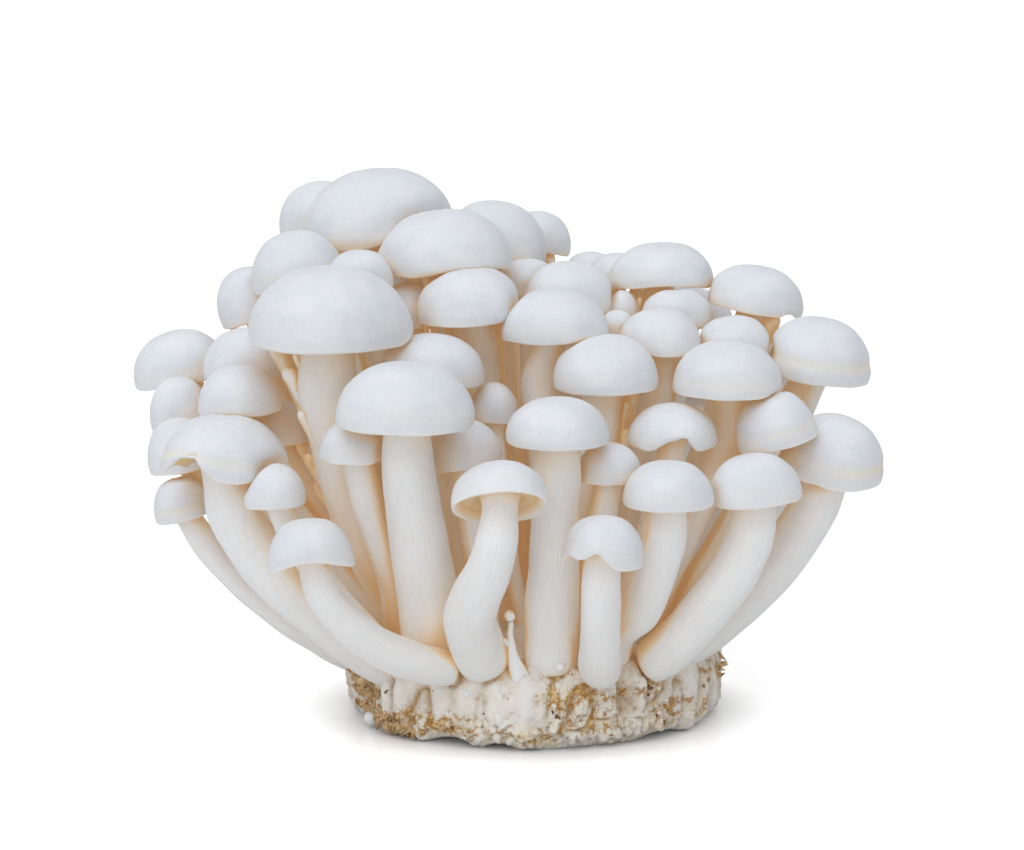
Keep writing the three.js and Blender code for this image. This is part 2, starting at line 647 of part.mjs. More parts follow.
for (const m of MUSHROOMS) {
  addMesh(group, `mushroom_${m.name}`, toGeometry(toSolid(skin(m))), WHITE_FLESH);
}

export default group;
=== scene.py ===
# %% [markdown]
# # A cluster of white beech mushrooms
# The real object is one growth: about sixty white mushrooms that fan out of a round
# plug of felted mycelium. The solids come in from the CAD model as a fixed frame, and
# every later cell dresses one part of it with a finer mesh or a finish.
# Everything is in metres, with +Z up and -Y towards the viewer.

# %% Load the solids as a fixed frame
import math
import random

import bpy
import numpy as np
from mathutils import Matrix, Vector, noise
from mathutils.bvhtree import BVHTree


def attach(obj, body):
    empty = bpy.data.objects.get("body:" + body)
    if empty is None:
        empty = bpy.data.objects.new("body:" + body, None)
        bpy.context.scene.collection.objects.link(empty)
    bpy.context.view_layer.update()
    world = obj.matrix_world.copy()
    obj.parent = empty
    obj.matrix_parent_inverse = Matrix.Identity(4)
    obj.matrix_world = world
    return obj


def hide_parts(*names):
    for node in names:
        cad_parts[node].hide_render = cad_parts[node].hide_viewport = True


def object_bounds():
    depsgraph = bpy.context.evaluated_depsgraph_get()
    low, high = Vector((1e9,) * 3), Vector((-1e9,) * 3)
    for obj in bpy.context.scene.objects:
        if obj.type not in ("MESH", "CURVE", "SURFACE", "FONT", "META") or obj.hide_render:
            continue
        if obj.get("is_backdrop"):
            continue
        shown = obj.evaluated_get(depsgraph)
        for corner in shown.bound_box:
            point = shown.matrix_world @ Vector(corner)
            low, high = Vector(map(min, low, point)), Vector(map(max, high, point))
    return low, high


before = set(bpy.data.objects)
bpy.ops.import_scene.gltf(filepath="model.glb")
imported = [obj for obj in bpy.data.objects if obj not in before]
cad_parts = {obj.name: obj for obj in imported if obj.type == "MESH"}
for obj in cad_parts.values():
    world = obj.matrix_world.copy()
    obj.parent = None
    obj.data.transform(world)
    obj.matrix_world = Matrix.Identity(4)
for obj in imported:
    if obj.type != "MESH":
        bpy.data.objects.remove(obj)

MM = 0.001
cad_low, cad_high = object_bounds()
print("solids:", len(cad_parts), "box in mm:", [round(v / MM, 1) for v in (*cad_low, *cad_high)])

# %% [markdown]
# ## The camera
# The cluster was seen from a little above the table, through a long lens. A long lens
# far away keeps the front and back caps nearly the same size, so the camera stands
# 600 mm off and looks 10 degrees down. An empty target isn't needed: the direction is
# turned straight into a rotation.

# %% Set the camera
PICTURE_WIDTH, PICTURE_HEIGHT = 1024, 850
CAMERA_FAR = 600.0
scene = bpy.context.scene
camera_data = bpy.data.cameras.new("long_lens")
camera_data.sensor_width = 36.0
camera_data.lens = 125.5
camera = bpy.data.objects.new("long_lens", camera_data)
scene.collection.objects.link(camera)
look_at = Vector((-3.7, 0.0, 48.9)) * MM
tilt = math.radians(10)
camera.location = look_at + Vector((0, -math.cos(tilt), math.sin(tilt))) * CAMERA_FAR * MM
camera.rotation_euler = (look_at - camera.location).to_track_quat("-Z", "Y").to_euler()
scene.camera = camera
print("camera at", [round(v / MM, 1) for v in camera.location])

# %% [markdown]
# ## Read the rings of a mushroom
# Each mushroom solid is a plain faceted skin: an apex, five rings round the cap, seven
# rings down the stem, and the tip of the foot. Its corners can be read back in that
# order, because each ring is one step further from the apex along the edges. Those
# rings are the guide for a finer skin, so the finer piece keeps the solid's form.

# %% Helpers that weld a solid and walk its rings
WELD_STEPS = 500  # in a millimetre


def welded(name):
    """A solid's corners in mm, each one once, and which corners an edge joins."""
    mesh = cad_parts[name].data
    corners = np.zeros(len(mesh.vertices) * 3)
    mesh.vertices.foreach_get("co", corners)
    whole = np.round(corners.reshape(-1, 3) / MM * WELD_STEPS).astype(np.int64)
    points, place = np.unique(whole, axis=0, return_inverse=True)
    place = place.ravel()
    links = [set() for _ in points]
    for edge in mesh.edges:
        a, b = place[edge.vertices[0]], place[edge.vertices[1]]
        if a != b:
            links[a].add(int(b))
            links[b].add(int(a))
    return points / WELD_STEPS, links


def unit(v):
    return v / np.linalg.norm(v)


def rings_of(name):
    """Apex, rings from the top down (points in turning order) and the foot's tip."""
    points, links = welded(name)
    apex = max(range(len(points)), key=lambda i: len(links[i]))
    seen, layer, layers = {apex}, [apex], []
    while layer:
        layers.append(layer)
        ahead = {j for i in layer for j in links[i]} - seen
        seen |= ahead
        layer = sorted(ahead)
    middles = [points[layer].mean(0) for layer in layers]
    axis = unit(middles[0] - middles[6])
    side = unit(np.array([1.0, 0, 0]) - axis[0] * axis)
    rings = []
    for level, layer in enumerate(layers[1:-1], 1):
        if level > 5:
            along = unit(middles[max(level - 1, 6)] - middles[min(level + 1, 12)])
            side = unit(side - side.dot(along) * along)
        else:
            along = axis
        front = np.cross(along, side)
        off = points[layer] - middles[level if level > 5 else 6]
        angles = np.arctan2(off @ front, off @ side)
        order = np.argsort(angles)
        first = int(np.argmin(np.abs(angles[order])))
        rings.append(points[layer][np.roll(order, -first)])
    return points[apex], rings, points[layers[-1][0]], axis


names = sorted(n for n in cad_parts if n.startswith("mushroom_"))
guides = {n: rings_of(n) for n in names}
sizes = {tuple(len(r) for r in g[1]) for g in guides.values()}
print(len(guides), "mushrooms; ring sizes found:", sorted(sizes))

# %% [markdown]
# ## From rings to a smooth skin
# A round ring of a few corners is bent into a smooth closed curve with a cubic spline
# that goes through every corner. Then each column of points, from apex to foot, is
# joined with a second smooth curve. Two passes of one-dimensional curves are easier to
# control than a subdivision surface, and where caps press on each other they keep the
# flats that the solids have. A real cap is widest close above its lower edge and then
# turns under sharply, so one more ring is set in there, out near the widest one.

# %% Helpers that curve a ring and a column
def curved_ring(points, columns):
    """A closed smooth curve through the ring, at evenly stepped places."""
    count = len(points)
    weight = (4 + 2 * np.cos(2 * np.pi * np.arange(count) / count)) / 6
    control = np.fft.ifft(np.fft.fft(points, axis=0) / weight[:, None], axis=0).real
    place = np.arange(columns) * count / columns
    start = np.floor(place).astype(int)
    s = (place - start)[:, None]
    shares = ((1 - s) ** 3 / 6, (3 * s**3 - 6 * s**2 + 4) / 6,
              (-3 * s**3 + 3 * s**2 + 3 * s + 1) / 6, s**3 / 6)
    return sum(share * control[(start + k - 1) % count] for k, share in enumerate(shares))


def curved_column(levels, steps, tight=5):
    """Rows between the levels along a smooth curve, with a tight bend at one level."""
    rows = []
    for k, count in enumerate(steps):
        p0, p1, p2, p3 = levels[k], levels[k + 1], levels[k + 2], levels[k + 3]
        d01, d12, d23 = (np.sqrt(np.linalg.norm(b - a, axis=1) + 1e-6)[:, None]
                         for a, b in ((p0, p1), (p1, p2), (p2, p3)))
        leave = ((p1 - p0) / d01 - (p2 - p0) / (d01 + d12) + (p2 - p1) / d12) * d12
        reach = ((p2 - p1) / d12 - (p3 - p1) / (d12 + d23) + (p3 - p2) / d23) * d12
        leave = leave * (0.45 if k == tight else 1)
        reach = reach * (0.45 if k == tight - 1 else 1)
        for t in np.arange(count) / count:
            rows.append((2 * t**3 - 3 * t**2 + 1) * p1 + (t**3 - 2 * t**2 + t) * leave
                        + (3 * t**2 - 2 * t**3) * p2 + (t**3 - t**2) * reach)
    return rows


CAP_STEPS = [9, 8, 7, 4, 3, 7, 4]
STEM_STEPS = [6, 6, 6, 6, 6, 7]
CAP_ROWS = sum(CAP_STEPS)
RIM_ROW = sum(CAP_STEPS[:5])
GILL_ROW = sum(CAP_STEPS[:6])


def smooth_skin(name, spacing):
    """Rows of points from the apex to the foot for one mushroom, in mm."""
    apex, rings, tip, axis = guides[name]
    widest = np.linalg.norm(rings[2] - rings[2].mean(0), axis=1).mean()
    columns = int(np.clip(2 * round(math.pi * widest / spacing), 36, 116))
    gills = rings[4]
    gills = (np.roll(gills, 1, 0) + 2 * gills + np.roll(gills, -1, 0)) / 4
    step = rings[2] - rings[3]
    rise = (step @ axis)[:, None] * axis
    rim = rings[3] + 0.72 * (step - rise)
    lip = rings[3] + 0.97 * (step - rise) + 0.24 * rise
    levels = [curved_ring(r, columns) for r in (*rings[:3], lip, rim, gills, *rings[5:])]
    top = np.repeat(apex[None], columns, 0)
    foot = np.repeat(tip[None], columns, 0)
    over = np.roll(levels[0], columns // 2, 0)
    under = np.roll(levels[-1], columns // 2, 0)
    levels = [over, top, *levels, foot, under]
    rows = curved_column(levels, CAP_STEPS + STEM_STEPS + [3])
    return np.array(rows + [foot]), axis, widest


trial, _, trial_reach = smooth_skin("mushroom_front_05", 0.75)
print("rows and columns on one front mushroom:", trial.shape[:2])

# %% [markdown]
# ## Relief that a hand would feel
# A cap isn't a perfect dome: it has broad dents and a fine dimpled skin, and on some
# caps a shallow groove runs round above the rim. A stem is drawn out in long soft
# ridges. The relief is added along the surface's own normals, as real geometry, so
# that outlines and reflections both show it. Smooth noise gives each mushroom its
# own shape, and the same one at every run.

# %% Normals and noise over a grid of points
def grid_normals(grid):
    """Outward normals of a grid whose rows go down and columns go round."""
    down = np.gradient(grid, axis=0)
    across = np.roll(grid, -1, 1) - np.roll(grid, 1, 1)
    normals = np.cross(down, across)
    length = np.linalg.norm(normals, axis=2, keepdims=True)
    normals = normals / np.maximum(length, 1e-9)
    normals[0] = normals[1].mean(0)
    normals[-1] = normals[-2].mean(0)
    return normals


def rough(points, scale, seed=0.0, octaves=1):
    """Smooth noise, about -1 to 1, of a grid of points in mm; scale in mm."""
    flat = points.reshape(-1, 3) / scale + seed
    if octaves == 1:
        values = [noise.noise(Vector(p)) for p in flat]
    else:
        values = [noise.fractal(Vector(p), 1.0, 2.0, octaves) for p in flat]
    return np.array(values).reshape(points.shape[:-1]) * 1.6


def bump(x, middle, half):
    """A soft hump, 1 at the middle and 0 at half away."""
    near = np.clip(1 - np.abs(x - middle) / half, 0, 1)
    return near**2 * (3 - 2 * near)


# Torn rims: the middle of the tear in degrees round the cap, its half width, its rise in mm
TEARS = {"front_03": (243, 28, 3.8), "front_08": (222, 50, 1.5), "front_11": (250, 16, 0.4),
         "middle_07": (284, 14, 1.2), "crown_03": (315, 20, 0.9)}


def tear_rim(grid, axis, name, seed):
    """Raise the rim where a cap is torn, with a ragged edge."""
    if name not in TEARS:
        return grid
    middle, half, rise = TEARS[name]
    turned = 360 * np.arange(grid.shape[1]) / grid.shape[1]
    stops = (RIM_ROW - 14, RIM_ROW - 6, RIM_ROW, GILL_ROW, CAP_ROWS)
    share = np.interp(np.arange(len(grid)), stops, (0, 0.4, 1, 0.25, 0))
    off = np.abs((turned - middle + 180) % 360 - 180)
    ragged = 1 + 0.1 * np.sin(turned * 0.31 + seed) + 0.05 * np.sin(turned * 0.83)
    return grid + (share[:, None] * rise * bump(off, 0, half) * ragged)[..., None] * axis


# How deep each cap's groove is in mm, and how high above the rim as a share of the cap
GROOVES = {
    "front_01": (0.25, 0.30), "front_03": (0.35, 0.34), "front_11": (0.30, 0.30),
    "middle_22": (0.40, 0.34), "middle_09": (0.15, 0.28), "middle_08": (0.18, 0.3),
    "middle_19": (0.12, 0.25), "crown_10": (0.12, 0.26), "middle_12": (0.12, 0.22),
}
FAINT_GROOVE = (0.06, 0.3)


def add_relief(grid, axis, widest, name, seed):
    """Dents, dimples, a rim groove, and ridges down the stem."""
    normals = grid_normals(grid)
    rows = np.arange(len(grid))[:, None]
    turn = 2 * np.pi * np.arange(grid.shape[1])[None] / grid.shape[1]
    on_cap = np.clip((RIM_ROW + 3 - rows) / 5, 0, 1)
    on_stem = np.clip((rows - CAP_ROWS) / 4, 0, 1) * np.clip((len(grid) - 3 - rows) / 4, 0, 1)
    lift = on_cap * (0.10 + 0.09 * rough(grid, 0.55 * widest + 1.5, seed)
                     + 0.022 * rough(grid, 1.5, seed + 7))
    wave = widest * (0.006 * np.sin(3 * turn + seed) + 0.004 * np.sin(7 * turn + 2.3 * seed))
    lift = lift + wave * bump(rows, RIM_ROW - 1.0, 9)
    depth, height = GROOVES.get(name, FAINT_GROOVE)
    groove_row = RIM_ROW - 7 - 7 * (height - 0.25) / 0.34
    groove = bump(rows, groove_row, 3.0) * (0.75 + 0.25 * np.sin(2 * turn + seed))
    lift = lift - 0.5 * depth * groove
    along = (rows - CAP_ROWS) * 0.16
    ridges = np.stack(np.broadcast_arrays(2.6 * np.cos(turn), 2.6 * np.sin(turn), along), -1)
    lift = lift + on_stem * (0.08 + 0.03 * rough(ridges, 0.8, seed) + 0.14 * rough(grid, 6.0, seed + 3))
    return grid + normals * lift[..., None], groove * min(1, depth / 0.3)


trial, _ = add_relief(trial, guides["mushroom_front_05"][3], trial_reach, "front_05", 1.0)
print("relief tried on one mushroom, tallest point", round(float(trial[..., 2].max()), 2), "mm")

# %% [markdown]
# ## How enclosed each place is
# Deep between the stems the flesh looks tan, because light that gets in there has
# bounced off creamy flesh many times. A renderer with few bounces loses some of that,
# so each point gets a number for how enclosed it is: rays go out in many directions,
# and the share that hits a solid is kept. The materials use it as a tint. It belongs
# to the surface, not to the camera, so it is right from every side. The felt is tested
# against the mushrooms alone, because its folds lie partly inside its own plain solid.

# %% Measure enclosure with rays against the solids
def solid_tree(wanted):
    """A tree for rays, of the solids that are named."""
    points, faces = [], []
    for name in wanted:
        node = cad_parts[name]
        start = len(points)
        points.extend(v.co / MM for v in node.data.vertices)
        faces.extend([start + i for i in p.vertices] for p in node.data.polygons)
    return BVHTree.FromPolygons(points, faces)


tree = solid_tree(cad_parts)
mushroom_tree = solid_tree(names)
golden = math.pi * (3 - math.sqrt(5))


def spread_rays(count):
    """Directions that are spread evenly over a sphere."""
    heights = [1 - (k + 0.5) / (count / 2) for k in range(count)]
    reaches = [math.sqrt(1 - z * z) for z in heights]
    return [Vector((reach * math.cos(golden * k), reach * math.sin(golden * k), z))
            for k, (reach, z) in enumerate(zip(reaches, heights))]


RAYS = spread_rays(26)


def enclosure(points, normals, reach=22.0, solids=tree):
    """Share of the open directions that are blocked, for each point."""
    blocked = []
    for p, n in zip(points, normals):
        normal = Vector(n)
        start = Vector(p) + normal * 0.6
        total = hits = 0.0
        for ray in RAYS:
            facing = ray.dot(normal)
            if facing <= 0.08:
                continue
            total += facing
            hit = solids.ray_cast(start, ray, reach)
            if hit[0] is not None:
                hits += facing * (1 - 0.5 * hit[3] / reach)
        blocked.append(hits / total if total else 0.0)
    return np.array(blocked)


def enclosure_grid(grid, normals, row_step=4, parts=12, solids=tree):
    """Enclosure on every few rows and columns, filled in between."""
    rows, columns = grid.shape[:2]
    some_rows = np.unique(np.append(np.arange(0, rows, row_step), rows - 1))
    some_columns = np.round(np.linspace(0, columns, parts, endpoint=False)).astype(int)
    patch = np.ix_(some_rows, some_columns)
    values = enclosure(grid[patch].reshape(-1, 3), normals[patch].reshape(-1, 3), solids=solids)
    values = values.reshape(len(some_rows), parts)
    full_rows = np.array([np.interp(np.arange(rows), some_rows, v) for v in values.T]).T
    wrapped = np.append(full_rows, full_rows[:, :1], 1)
    stops = np.append(some_columns, columns)
    return np.array([np.interp(np.arange(columns), stops, v) for v in wrapped])


print("rays for each point:", len(RAYS))

# %% [markdown]
# ## Gills
# Under a cap the gills are thin upright blades that run from near the rim to the stem,
# with short ones between the long ones. The flesh above them is hollowed a little, and
# each blade is a narrow wedge that hangs from it down to where the solid's underside
# is, and rises to nothing at its ends. Modelled blades catch light and shade like real
# ones, which a bump texture can't do at the cap's open edge.

# %% Hollow the underside and hang the blades
LONG_GILLS = (RIM_ROW + 3, CAP_ROWS - 1)
SHORT_GILLS = (RIM_ROW + 5, RIM_ROW + 9)


def hollow_underside(grid, axis, height):
    """Lift the rows between the rim and the stem towards the apex."""
    rows = np.arange(len(grid))
    share = np.clip((rows - RIM_ROW - 1) / 3, 0, 1) * np.clip((CAP_ROWS + 1 - rows) / 3, 0, 1)
    return grid + (share * 0.17 * height)[:, None, None] * axis[None, None]


def gill_blades(lower, upper, axis):
    """Wedges between two copies of the underside, one blade on each column."""
    points, faces = [], []
    columns = lower.shape[1]
    for j in range(columns):
        first, last = SHORT_GILLS if j % 2 else LONG_GILLS
        rows = range(first, last + 1)
        side = unit(lower[RIM_ROW, (j + 1) % columns] - lower[RIM_ROW, j - 1])
        start = len(points)
        for k, r in enumerate(rows):
            ends = min(1.0, k / 5, (len(rows) - 1 - k) / (2 if j % 2 else 4))
            width = 0.17 * np.linalg.norm(lower[r, (j + 1) % columns] - lower[r, j - 1]) + 0.03
            root = upper[r, j] + 0.12 * axis
            edge = root + (lower[r, j] - 0.12 * axis - root) * ends
            points += [root + side * width, edge, root - side * width]
            if k:
                a = start + 3 * (k - 1)
                faces += [(a, a + 3, a + 4, a + 1), (a + 1, a + 4, a + 5, a + 2)]
    return points, faces


print("rows that carry gills:", LONG_GILLS[0], "to", LONG_GILLS[1])

# %% [markdown]
# ## From rows of points to a piece
# Every grown thing here is a skin: rows of points, one ring after another, closed by a
# fan of triangles at each end. One function turns such rows into a mesh, one stores a
# value for each point, and one makes the mesh a piece of the part, on its one body.

# %% Close a skin, store values on it, add it as a piece
def closed_mesh(name, rows, start, end, downward=False, blades=((), ())):
    """Skin rows with a fan at each end; rows that run down turn the other way round."""
    points = np.vstack([start, rows.reshape(-1, 3), end])
    index = 1 + np.arange(rows.shape[0] * rows.shape[1]).reshape(rows.shape[:2])
    ahead = np.roll(index, -1, 1)
    faces = [(0, b, a) for a, b in zip(index[0].tolist(), ahead[0].tolist())]
    quads = np.stack([index[:-1], ahead[:-1], ahead[1:], index[1:]], -1).reshape(-1, 4)
    faces += [tuple(q) for q in quads.tolist()]
    faces += [(len(points) - 1, a, b) for a, b in zip(index[-1].tolist(), ahead[-1].tolist())]
    if downward:
        faces = [(f[0], *f[:0:-1]) for f in faces]
    blade_points, blade_faces = blades
    faces += [tuple(len(points) + i for i in f) for f in blade_faces]
    if len(blade_points):
        points = np.vstack([points, blade_points])
    mesh = bpy.data.meshes.new(name)
    mesh.from_pydata((points * MM).tolist(), [], faces)
    mesh.polygons.foreach_set("use_smooth", [True] * len(mesh.polygons))
    return mesh


def store(mesh, name, values, kind="FLOAT"):
    attribute = mesh.attributes.new(name, kind, "POINT")
    key = "vector" if kind == "FLOAT_VECTOR" else "value"
    attribute.data.foreach_set(key, np.asarray(values, np.float32).ravel())


def add_piece(name, mesh, replaced=None):
    piece = bpy.data.objects.new(name, mesh)
    scene.collection.objects.link(piece)
    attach(piece, "root")
    if replaced:
        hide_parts(replaced)
    return piece


print("helpers for skins are ready")

# %% [markdown]
# ## Build the mushrooms
# Each mushroom becomes one mesh: the smooth skin with its relief, and the blades
# under the cap. What the finish needs later is stored on the points as named
# attributes: where the cap, the groove and the gills are, how enclosed a place is, and
# a coordinate that runs along the stem, so that fibres can follow its bends.

# %% Mesh one mushroom with its attributes
def grow_mushroom(name, seed):
    short_name = name.replace("mushroom_", "")
    grid, axis, widest = smooth_skin(name, BACK_SPACING if "back" in name else SPACING)
    height = np.linalg.norm(grid[0, 0] - grid[CAP_ROWS].mean(0)) / 0.85
    grid = tear_rim(grid, axis, short_name, seed)
    grid, groove = add_relief(grid, axis, widest, short_name, seed)
    hollowed = hollow_underside(grid, axis, height)
    shut = enclosure_grid(hollowed, grid_normals(hollowed))
    blades = gill_blades(grid, hollowed, axis)
    mesh = closed_mesh(name + "_flesh", hollowed[1:-1], hollowed[0, 0], hollowed[-1, 0], True, blades)
    rows, columns = grid.shape[:2]

    def per_point(values, on_blades=0.0):
        values = np.broadcast_to(values, (rows, columns))
        whole = np.concatenate([[values[0].mean()], values[1:-1].ravel(), [values[-1].mean()]])
        return np.concatenate([whole, np.full(len(blades[0]), on_blades)])

    row = np.arange(rows)[:, None]
    store(mesh, "cap", per_point(np.clip((RIM_ROW + 1 - row) / 4, 0, 1)))
    store(mesh, "gill", per_point(bump(row, GILL_ROW, 9), 1.0))
    store(mesh, "groove", per_point(groove))
    store(mesh, "rim", per_point(bump(row, RIM_ROW, 8), 0.4))
    store(mesh, "enclosed", per_point(shut, float(shut[GILL_ROW].mean())))
    store(mesh, "foot", per_point(np.clip(1 - hollowed[..., 2] / FOOT_HEIGHT, 0, 1)))

    turned = 2 * np.pi * np.arange(columns)[None] / columns
    middles = hollowed.mean(1)
    steps = np.linalg.norm(np.diff(middles, axis=0), axis=1)
    along = np.concatenate([[0], np.cumsum(steps)])[:, None] + 40 * seed
    thick = np.linalg.norm(hollowed - middles[:, None], axis=2)
    grain = (thick * np.cos(turned), thick * np.sin(turned), along)
    store(mesh, "grain", np.stack([per_point(values) for values in grain], -1), "FLOAT_VECTOR")
    return add_piece("grown_" + name, mesh, name)


SPACING, BACK_SPACING = 0.78, 0.95
FOOT_HEIGHT = 30.0
mushrooms = [grow_mushroom(n, 1.7 * k + 1) for k, n in enumerate(names)]
print("mushrooms:", len(mushrooms), "faces:", sum(len(p.data.polygons) for p in mushrooms))

# %% [markdown]
# ## The felted base
# The base is the plug that filled the neck of the growing bottle. Its felt hangs in
# soft vertical pleats, it is torn along the bottom edge, and the feet of the stems
# stand in its top. It is built as one skin of rings round the plug, from the middle of
# the underside, up the side and in over the top. The folds are noise that is
# stretched upwards, so they run from rim to floor as the real ones do.

# %% Outline of the plug, as the solid has it
def plug_radius(angle):
    oval = np.hypot(30.5 * np.cos(angle), 28.5 * np.sin(angle))
    return (oval + 0.8 * np.maximum(0, -np.cos(angle)) + 0.4 * np.sin(3 * angle + 0.8)
            + 0.35 * np.sin(7 * angle))


def rim_height(angle):
    return (10.9 - 1.9 * np.maximum(0, -np.cos(angle)) - 1.3 * np.sin(angle)
            + 0.4 * np.sin(9 * angle + 1))


def edge_lift(angle):
    degrees = np.degrees(angle) % 360
    lift = np.zeros_like(angle)
    for middle, half, height in TORN_EDGES:
        lift = lift + height * np.clip(1 - ((degrees - middle) / half) ** 2, 0, 1)
    return lift


# Where the lower edge is torn up: the middle and half width in degrees, the height in mm
TORN_EDGES = [(240, 9, 1.3), (258, 6, 0.9), (200, 12, 1.0), (318, 10, 0.8)]
BASE_COLUMNS = 440
CROWN_HEIGHT = 16.0
turn = 2 * np.pi * np.arange(BASE_COLUMNS) / BASE_COLUMNS
outline = plug_radius(turn)
print("plug is", round(float(outline.min()), 1), "to", round(float(outline.max()), 1), "mm in radius")

# %% Rings of the plug before its folds
def plug_rows():
    """Rings of points, each with its kind: 0 below, up to 1 over the side, 2 on the top."""
    rim, lift = rim_height(turn), edge_lift(turn)
    rows, kinds = [], []

    def add_ring(reach, z, kind):
        rows.append(np.stack([reach * np.cos(turn), reach * np.sin(turn), z], -1))
        kinds.append(kind)

    for share in np.linspace(0.06, 1, 12):
        edge = np.clip((share - 0.86) / 0.14, 0, 1)
        add_ring(outline * 0.93 * share, lift * edge, 0.0)
    for share in np.linspace(0, 1, 34)[1:]:
        swell = 0.93 + 0.07 * np.sin(np.pi / 2 * min(1, share / 0.28))
        swell -= 0.045 * max(0, (share - 0.8) / 0.2) ** 2
        add_ring(outline * swell, lift * (1 - share) + rim * share ** 1.05, share)
    for share in np.linspace(1, 0.03, 46)[1:]:
        add_ring(outline * 0.955 * share, CROWN_HEIGHT + (rim - CROWN_HEIGHT) * share ** 3, 2.0)
    return np.array(rows), np.array(kinds)


plug, kinds = plug_rows()
print("rows and columns on the plug:", plug.shape[:2])

# %% [markdown]
# ## Pleats, curls and collars
# Three things give the felt its look. Pleats: ridged noise on a cylinder, read slowly
# up the height, gives folds with sharp creases that run up and down. Curls: the same
# noise, bent by a second one, gives the small brain-like folds low down and at the
# right. Collars: the felt climbs a little way up each stem, so every point near a foot
# is raised. A smooth tongue and one hollow pocket are set in at given places.

# %% Relief of the felt
def ridged(points, scale, seed, swell=1.0):
    """Noise with sharp creases, 0 in a crease and about 1 on a fold."""
    return np.clip(np.abs(rough(points, scale, seed)) * 1.6, 0, 1) ** swell


def around(degrees, middle, half):
    """A soft window over the angle, 1 at the middle."""
    off = np.abs((degrees - middle + 180) % 360 - 180)
    return np.clip(1 - off / half, 0, 1) ** 0.7


def foot_distance(grid):
    """How far each point is from the skin of the nearest stem, in mm, minus inside."""
    nearest = np.full(grid.shape[:2], 99.0)
    for name in names:
        rings = guides[name][1]
        middles = [ring.mean(0) for ring in rings[-4:]]
        radii = [np.linalg.norm(r - m, axis=1).mean() for r, m in zip(rings[-4:], middles)]
        for k in range(3):
            a, b = middles[k], middles[k + 1]
            line = b - a
            share = np.clip(((grid - a) @ line) / line.dot(line), 0, 1)
            away = np.linalg.norm(grid - (a + share[..., None] * line), axis=-1)
            nearest = np.minimum(nearest, away - (radii[k] + (radii[k + 1] - radii[k]) * share))
    return nearest


def fold_felt(grid, kinds):
    """The folded rows, the creases' and the tongue's masks, and each point's angle."""
    normals = -grid_normals(grid)
    degrees = np.degrees(turn)[None] * np.ones((len(grid), 1))
    z = grid[..., 2]
    kind = kinds[:, None] * np.ones_like(z)
    side = np.clip(kind * 8, 0, 1) * (kind < 1.5)
    top = (kind > 1.5) * 1.0
    right = around(degrees, 305, 30)
    sway = rough(grid * np.array([1, 1, 0.45]), 8.0, 3.0) * (0.7 + 2.6 * right)
    swayed = grid * np.array([1, 1, 0.10]) + np.stack([sway, -sway, 0 * sway], -1)
    calm = 1 - 0.55 * around(degrees, 258, 22)
    tongue = bump(degrees, 266.8, 4.6) * np.clip((z - 4.0) / 2.5, 0, 1)
    pleat = ridged(swayed, 4.2, 11.0, 0.65)
    pleats = 1.9 * calm * (1 + 0.4 * right) * (pleat - 0.5) * (1 - tongue)
    fine_pleats = (0.35 + 0.45 * around(degrees, 335, 40)) * (ridged(swayed, 1.5, 5.0) - 0.4)
    bend = np.stack([rough(grid, 3.2, s) for s in (21.0, 22.0, 23.0)], -1) * 1.8
    curl = ridged(grid * np.array([1, 1, 1.2]) + bend, 2.3, 31.0, 0.7)
    curls = 1.2 * (curl - 0.45) * (1 - tongue)
    low = np.clip(1.15 - z / 5.5, 0, 1)
    torn = (around(degrees, 282, 45) * np.clip(1.3 - z / 6.5, 0, 1) + 0.45 * right * np.clip(z / 4, 0, 1)
            + 0.7 * low * (1 - 0.5 * around(degrees, 330, 40))
            + 0.6 * around(degrees, 100, 60) * np.clip(1 - z / 7, 0, 1))
    torn = np.clip(torn, 0, 1)
    lumps = 0.22 * rough(grid, 6.0, 41.0)
    grit = 0.42 * rough(grid, 1.3, 51.0, 3)
    lift = side * (pleats * (1 - 0.75 * torn) + fine_pleats * (1 - 0.5 * torn)
                   + curls * torn + lumps + grit * (0.05 + 0.95 * low * torn) + 1.0 * tongue)
    pocket = around(degrees, 302, 4.5) * bump(z, 7.6, 4.8)
    lift = np.clip(np.clip(lift, -2.4, 1.3) - 3.0 * pocket * side, -3.6, 1.3)
    near = foot_distance(grid)
    collar = np.clip(1 - np.maximum(near, 0) / 2.2, 0, 1) ** 2
    lift = lift + 0.35 * side * collar + top * (1.7 * collar + 0.5 * lumps + 0.3 * grit)
    folded = grid + normals * lift[..., None]
    folded[..., 2] = np.maximum(folded[..., 2], 0.0)
    folded[..., 2] = np.where(kind <= 0, z, folded[..., 2])
    lines = np.maximum(np.clip(1 - 1.9 * pleat, 0, 1) * (1 - 0.6 * torn) * (0.35 + 0.65 * calm),
                       np.clip(1 - 2.4 * curl, 0, 1) * torn) * (1 - tongue)
    return folded, lines * side, degrees, tongue * side


plug, crease, plug_degrees, tongue = fold_felt(plug, kinds)
print("felt relief done, height", round(float(plug[..., 2].max()), 1), "mm")

# %% How deep each place lies between the folds
def coarse_tree(grid):
    """A tree for rays, of every second row and column."""
    sparse = grid[::2, ::2]
    index = np.arange(sparse.shape[0] * sparse.shape[1]).reshape(sparse.shape[:2])
    ahead = np.roll(index, -1, 1)
    quads = np.stack([index[:-1], ahead[:-1], ahead[1:], index[1:]], -1).reshape(-1, 4)
    return BVHTree.FromPolygons(sparse.reshape(-1, 3).tolist(), quads.tolist())


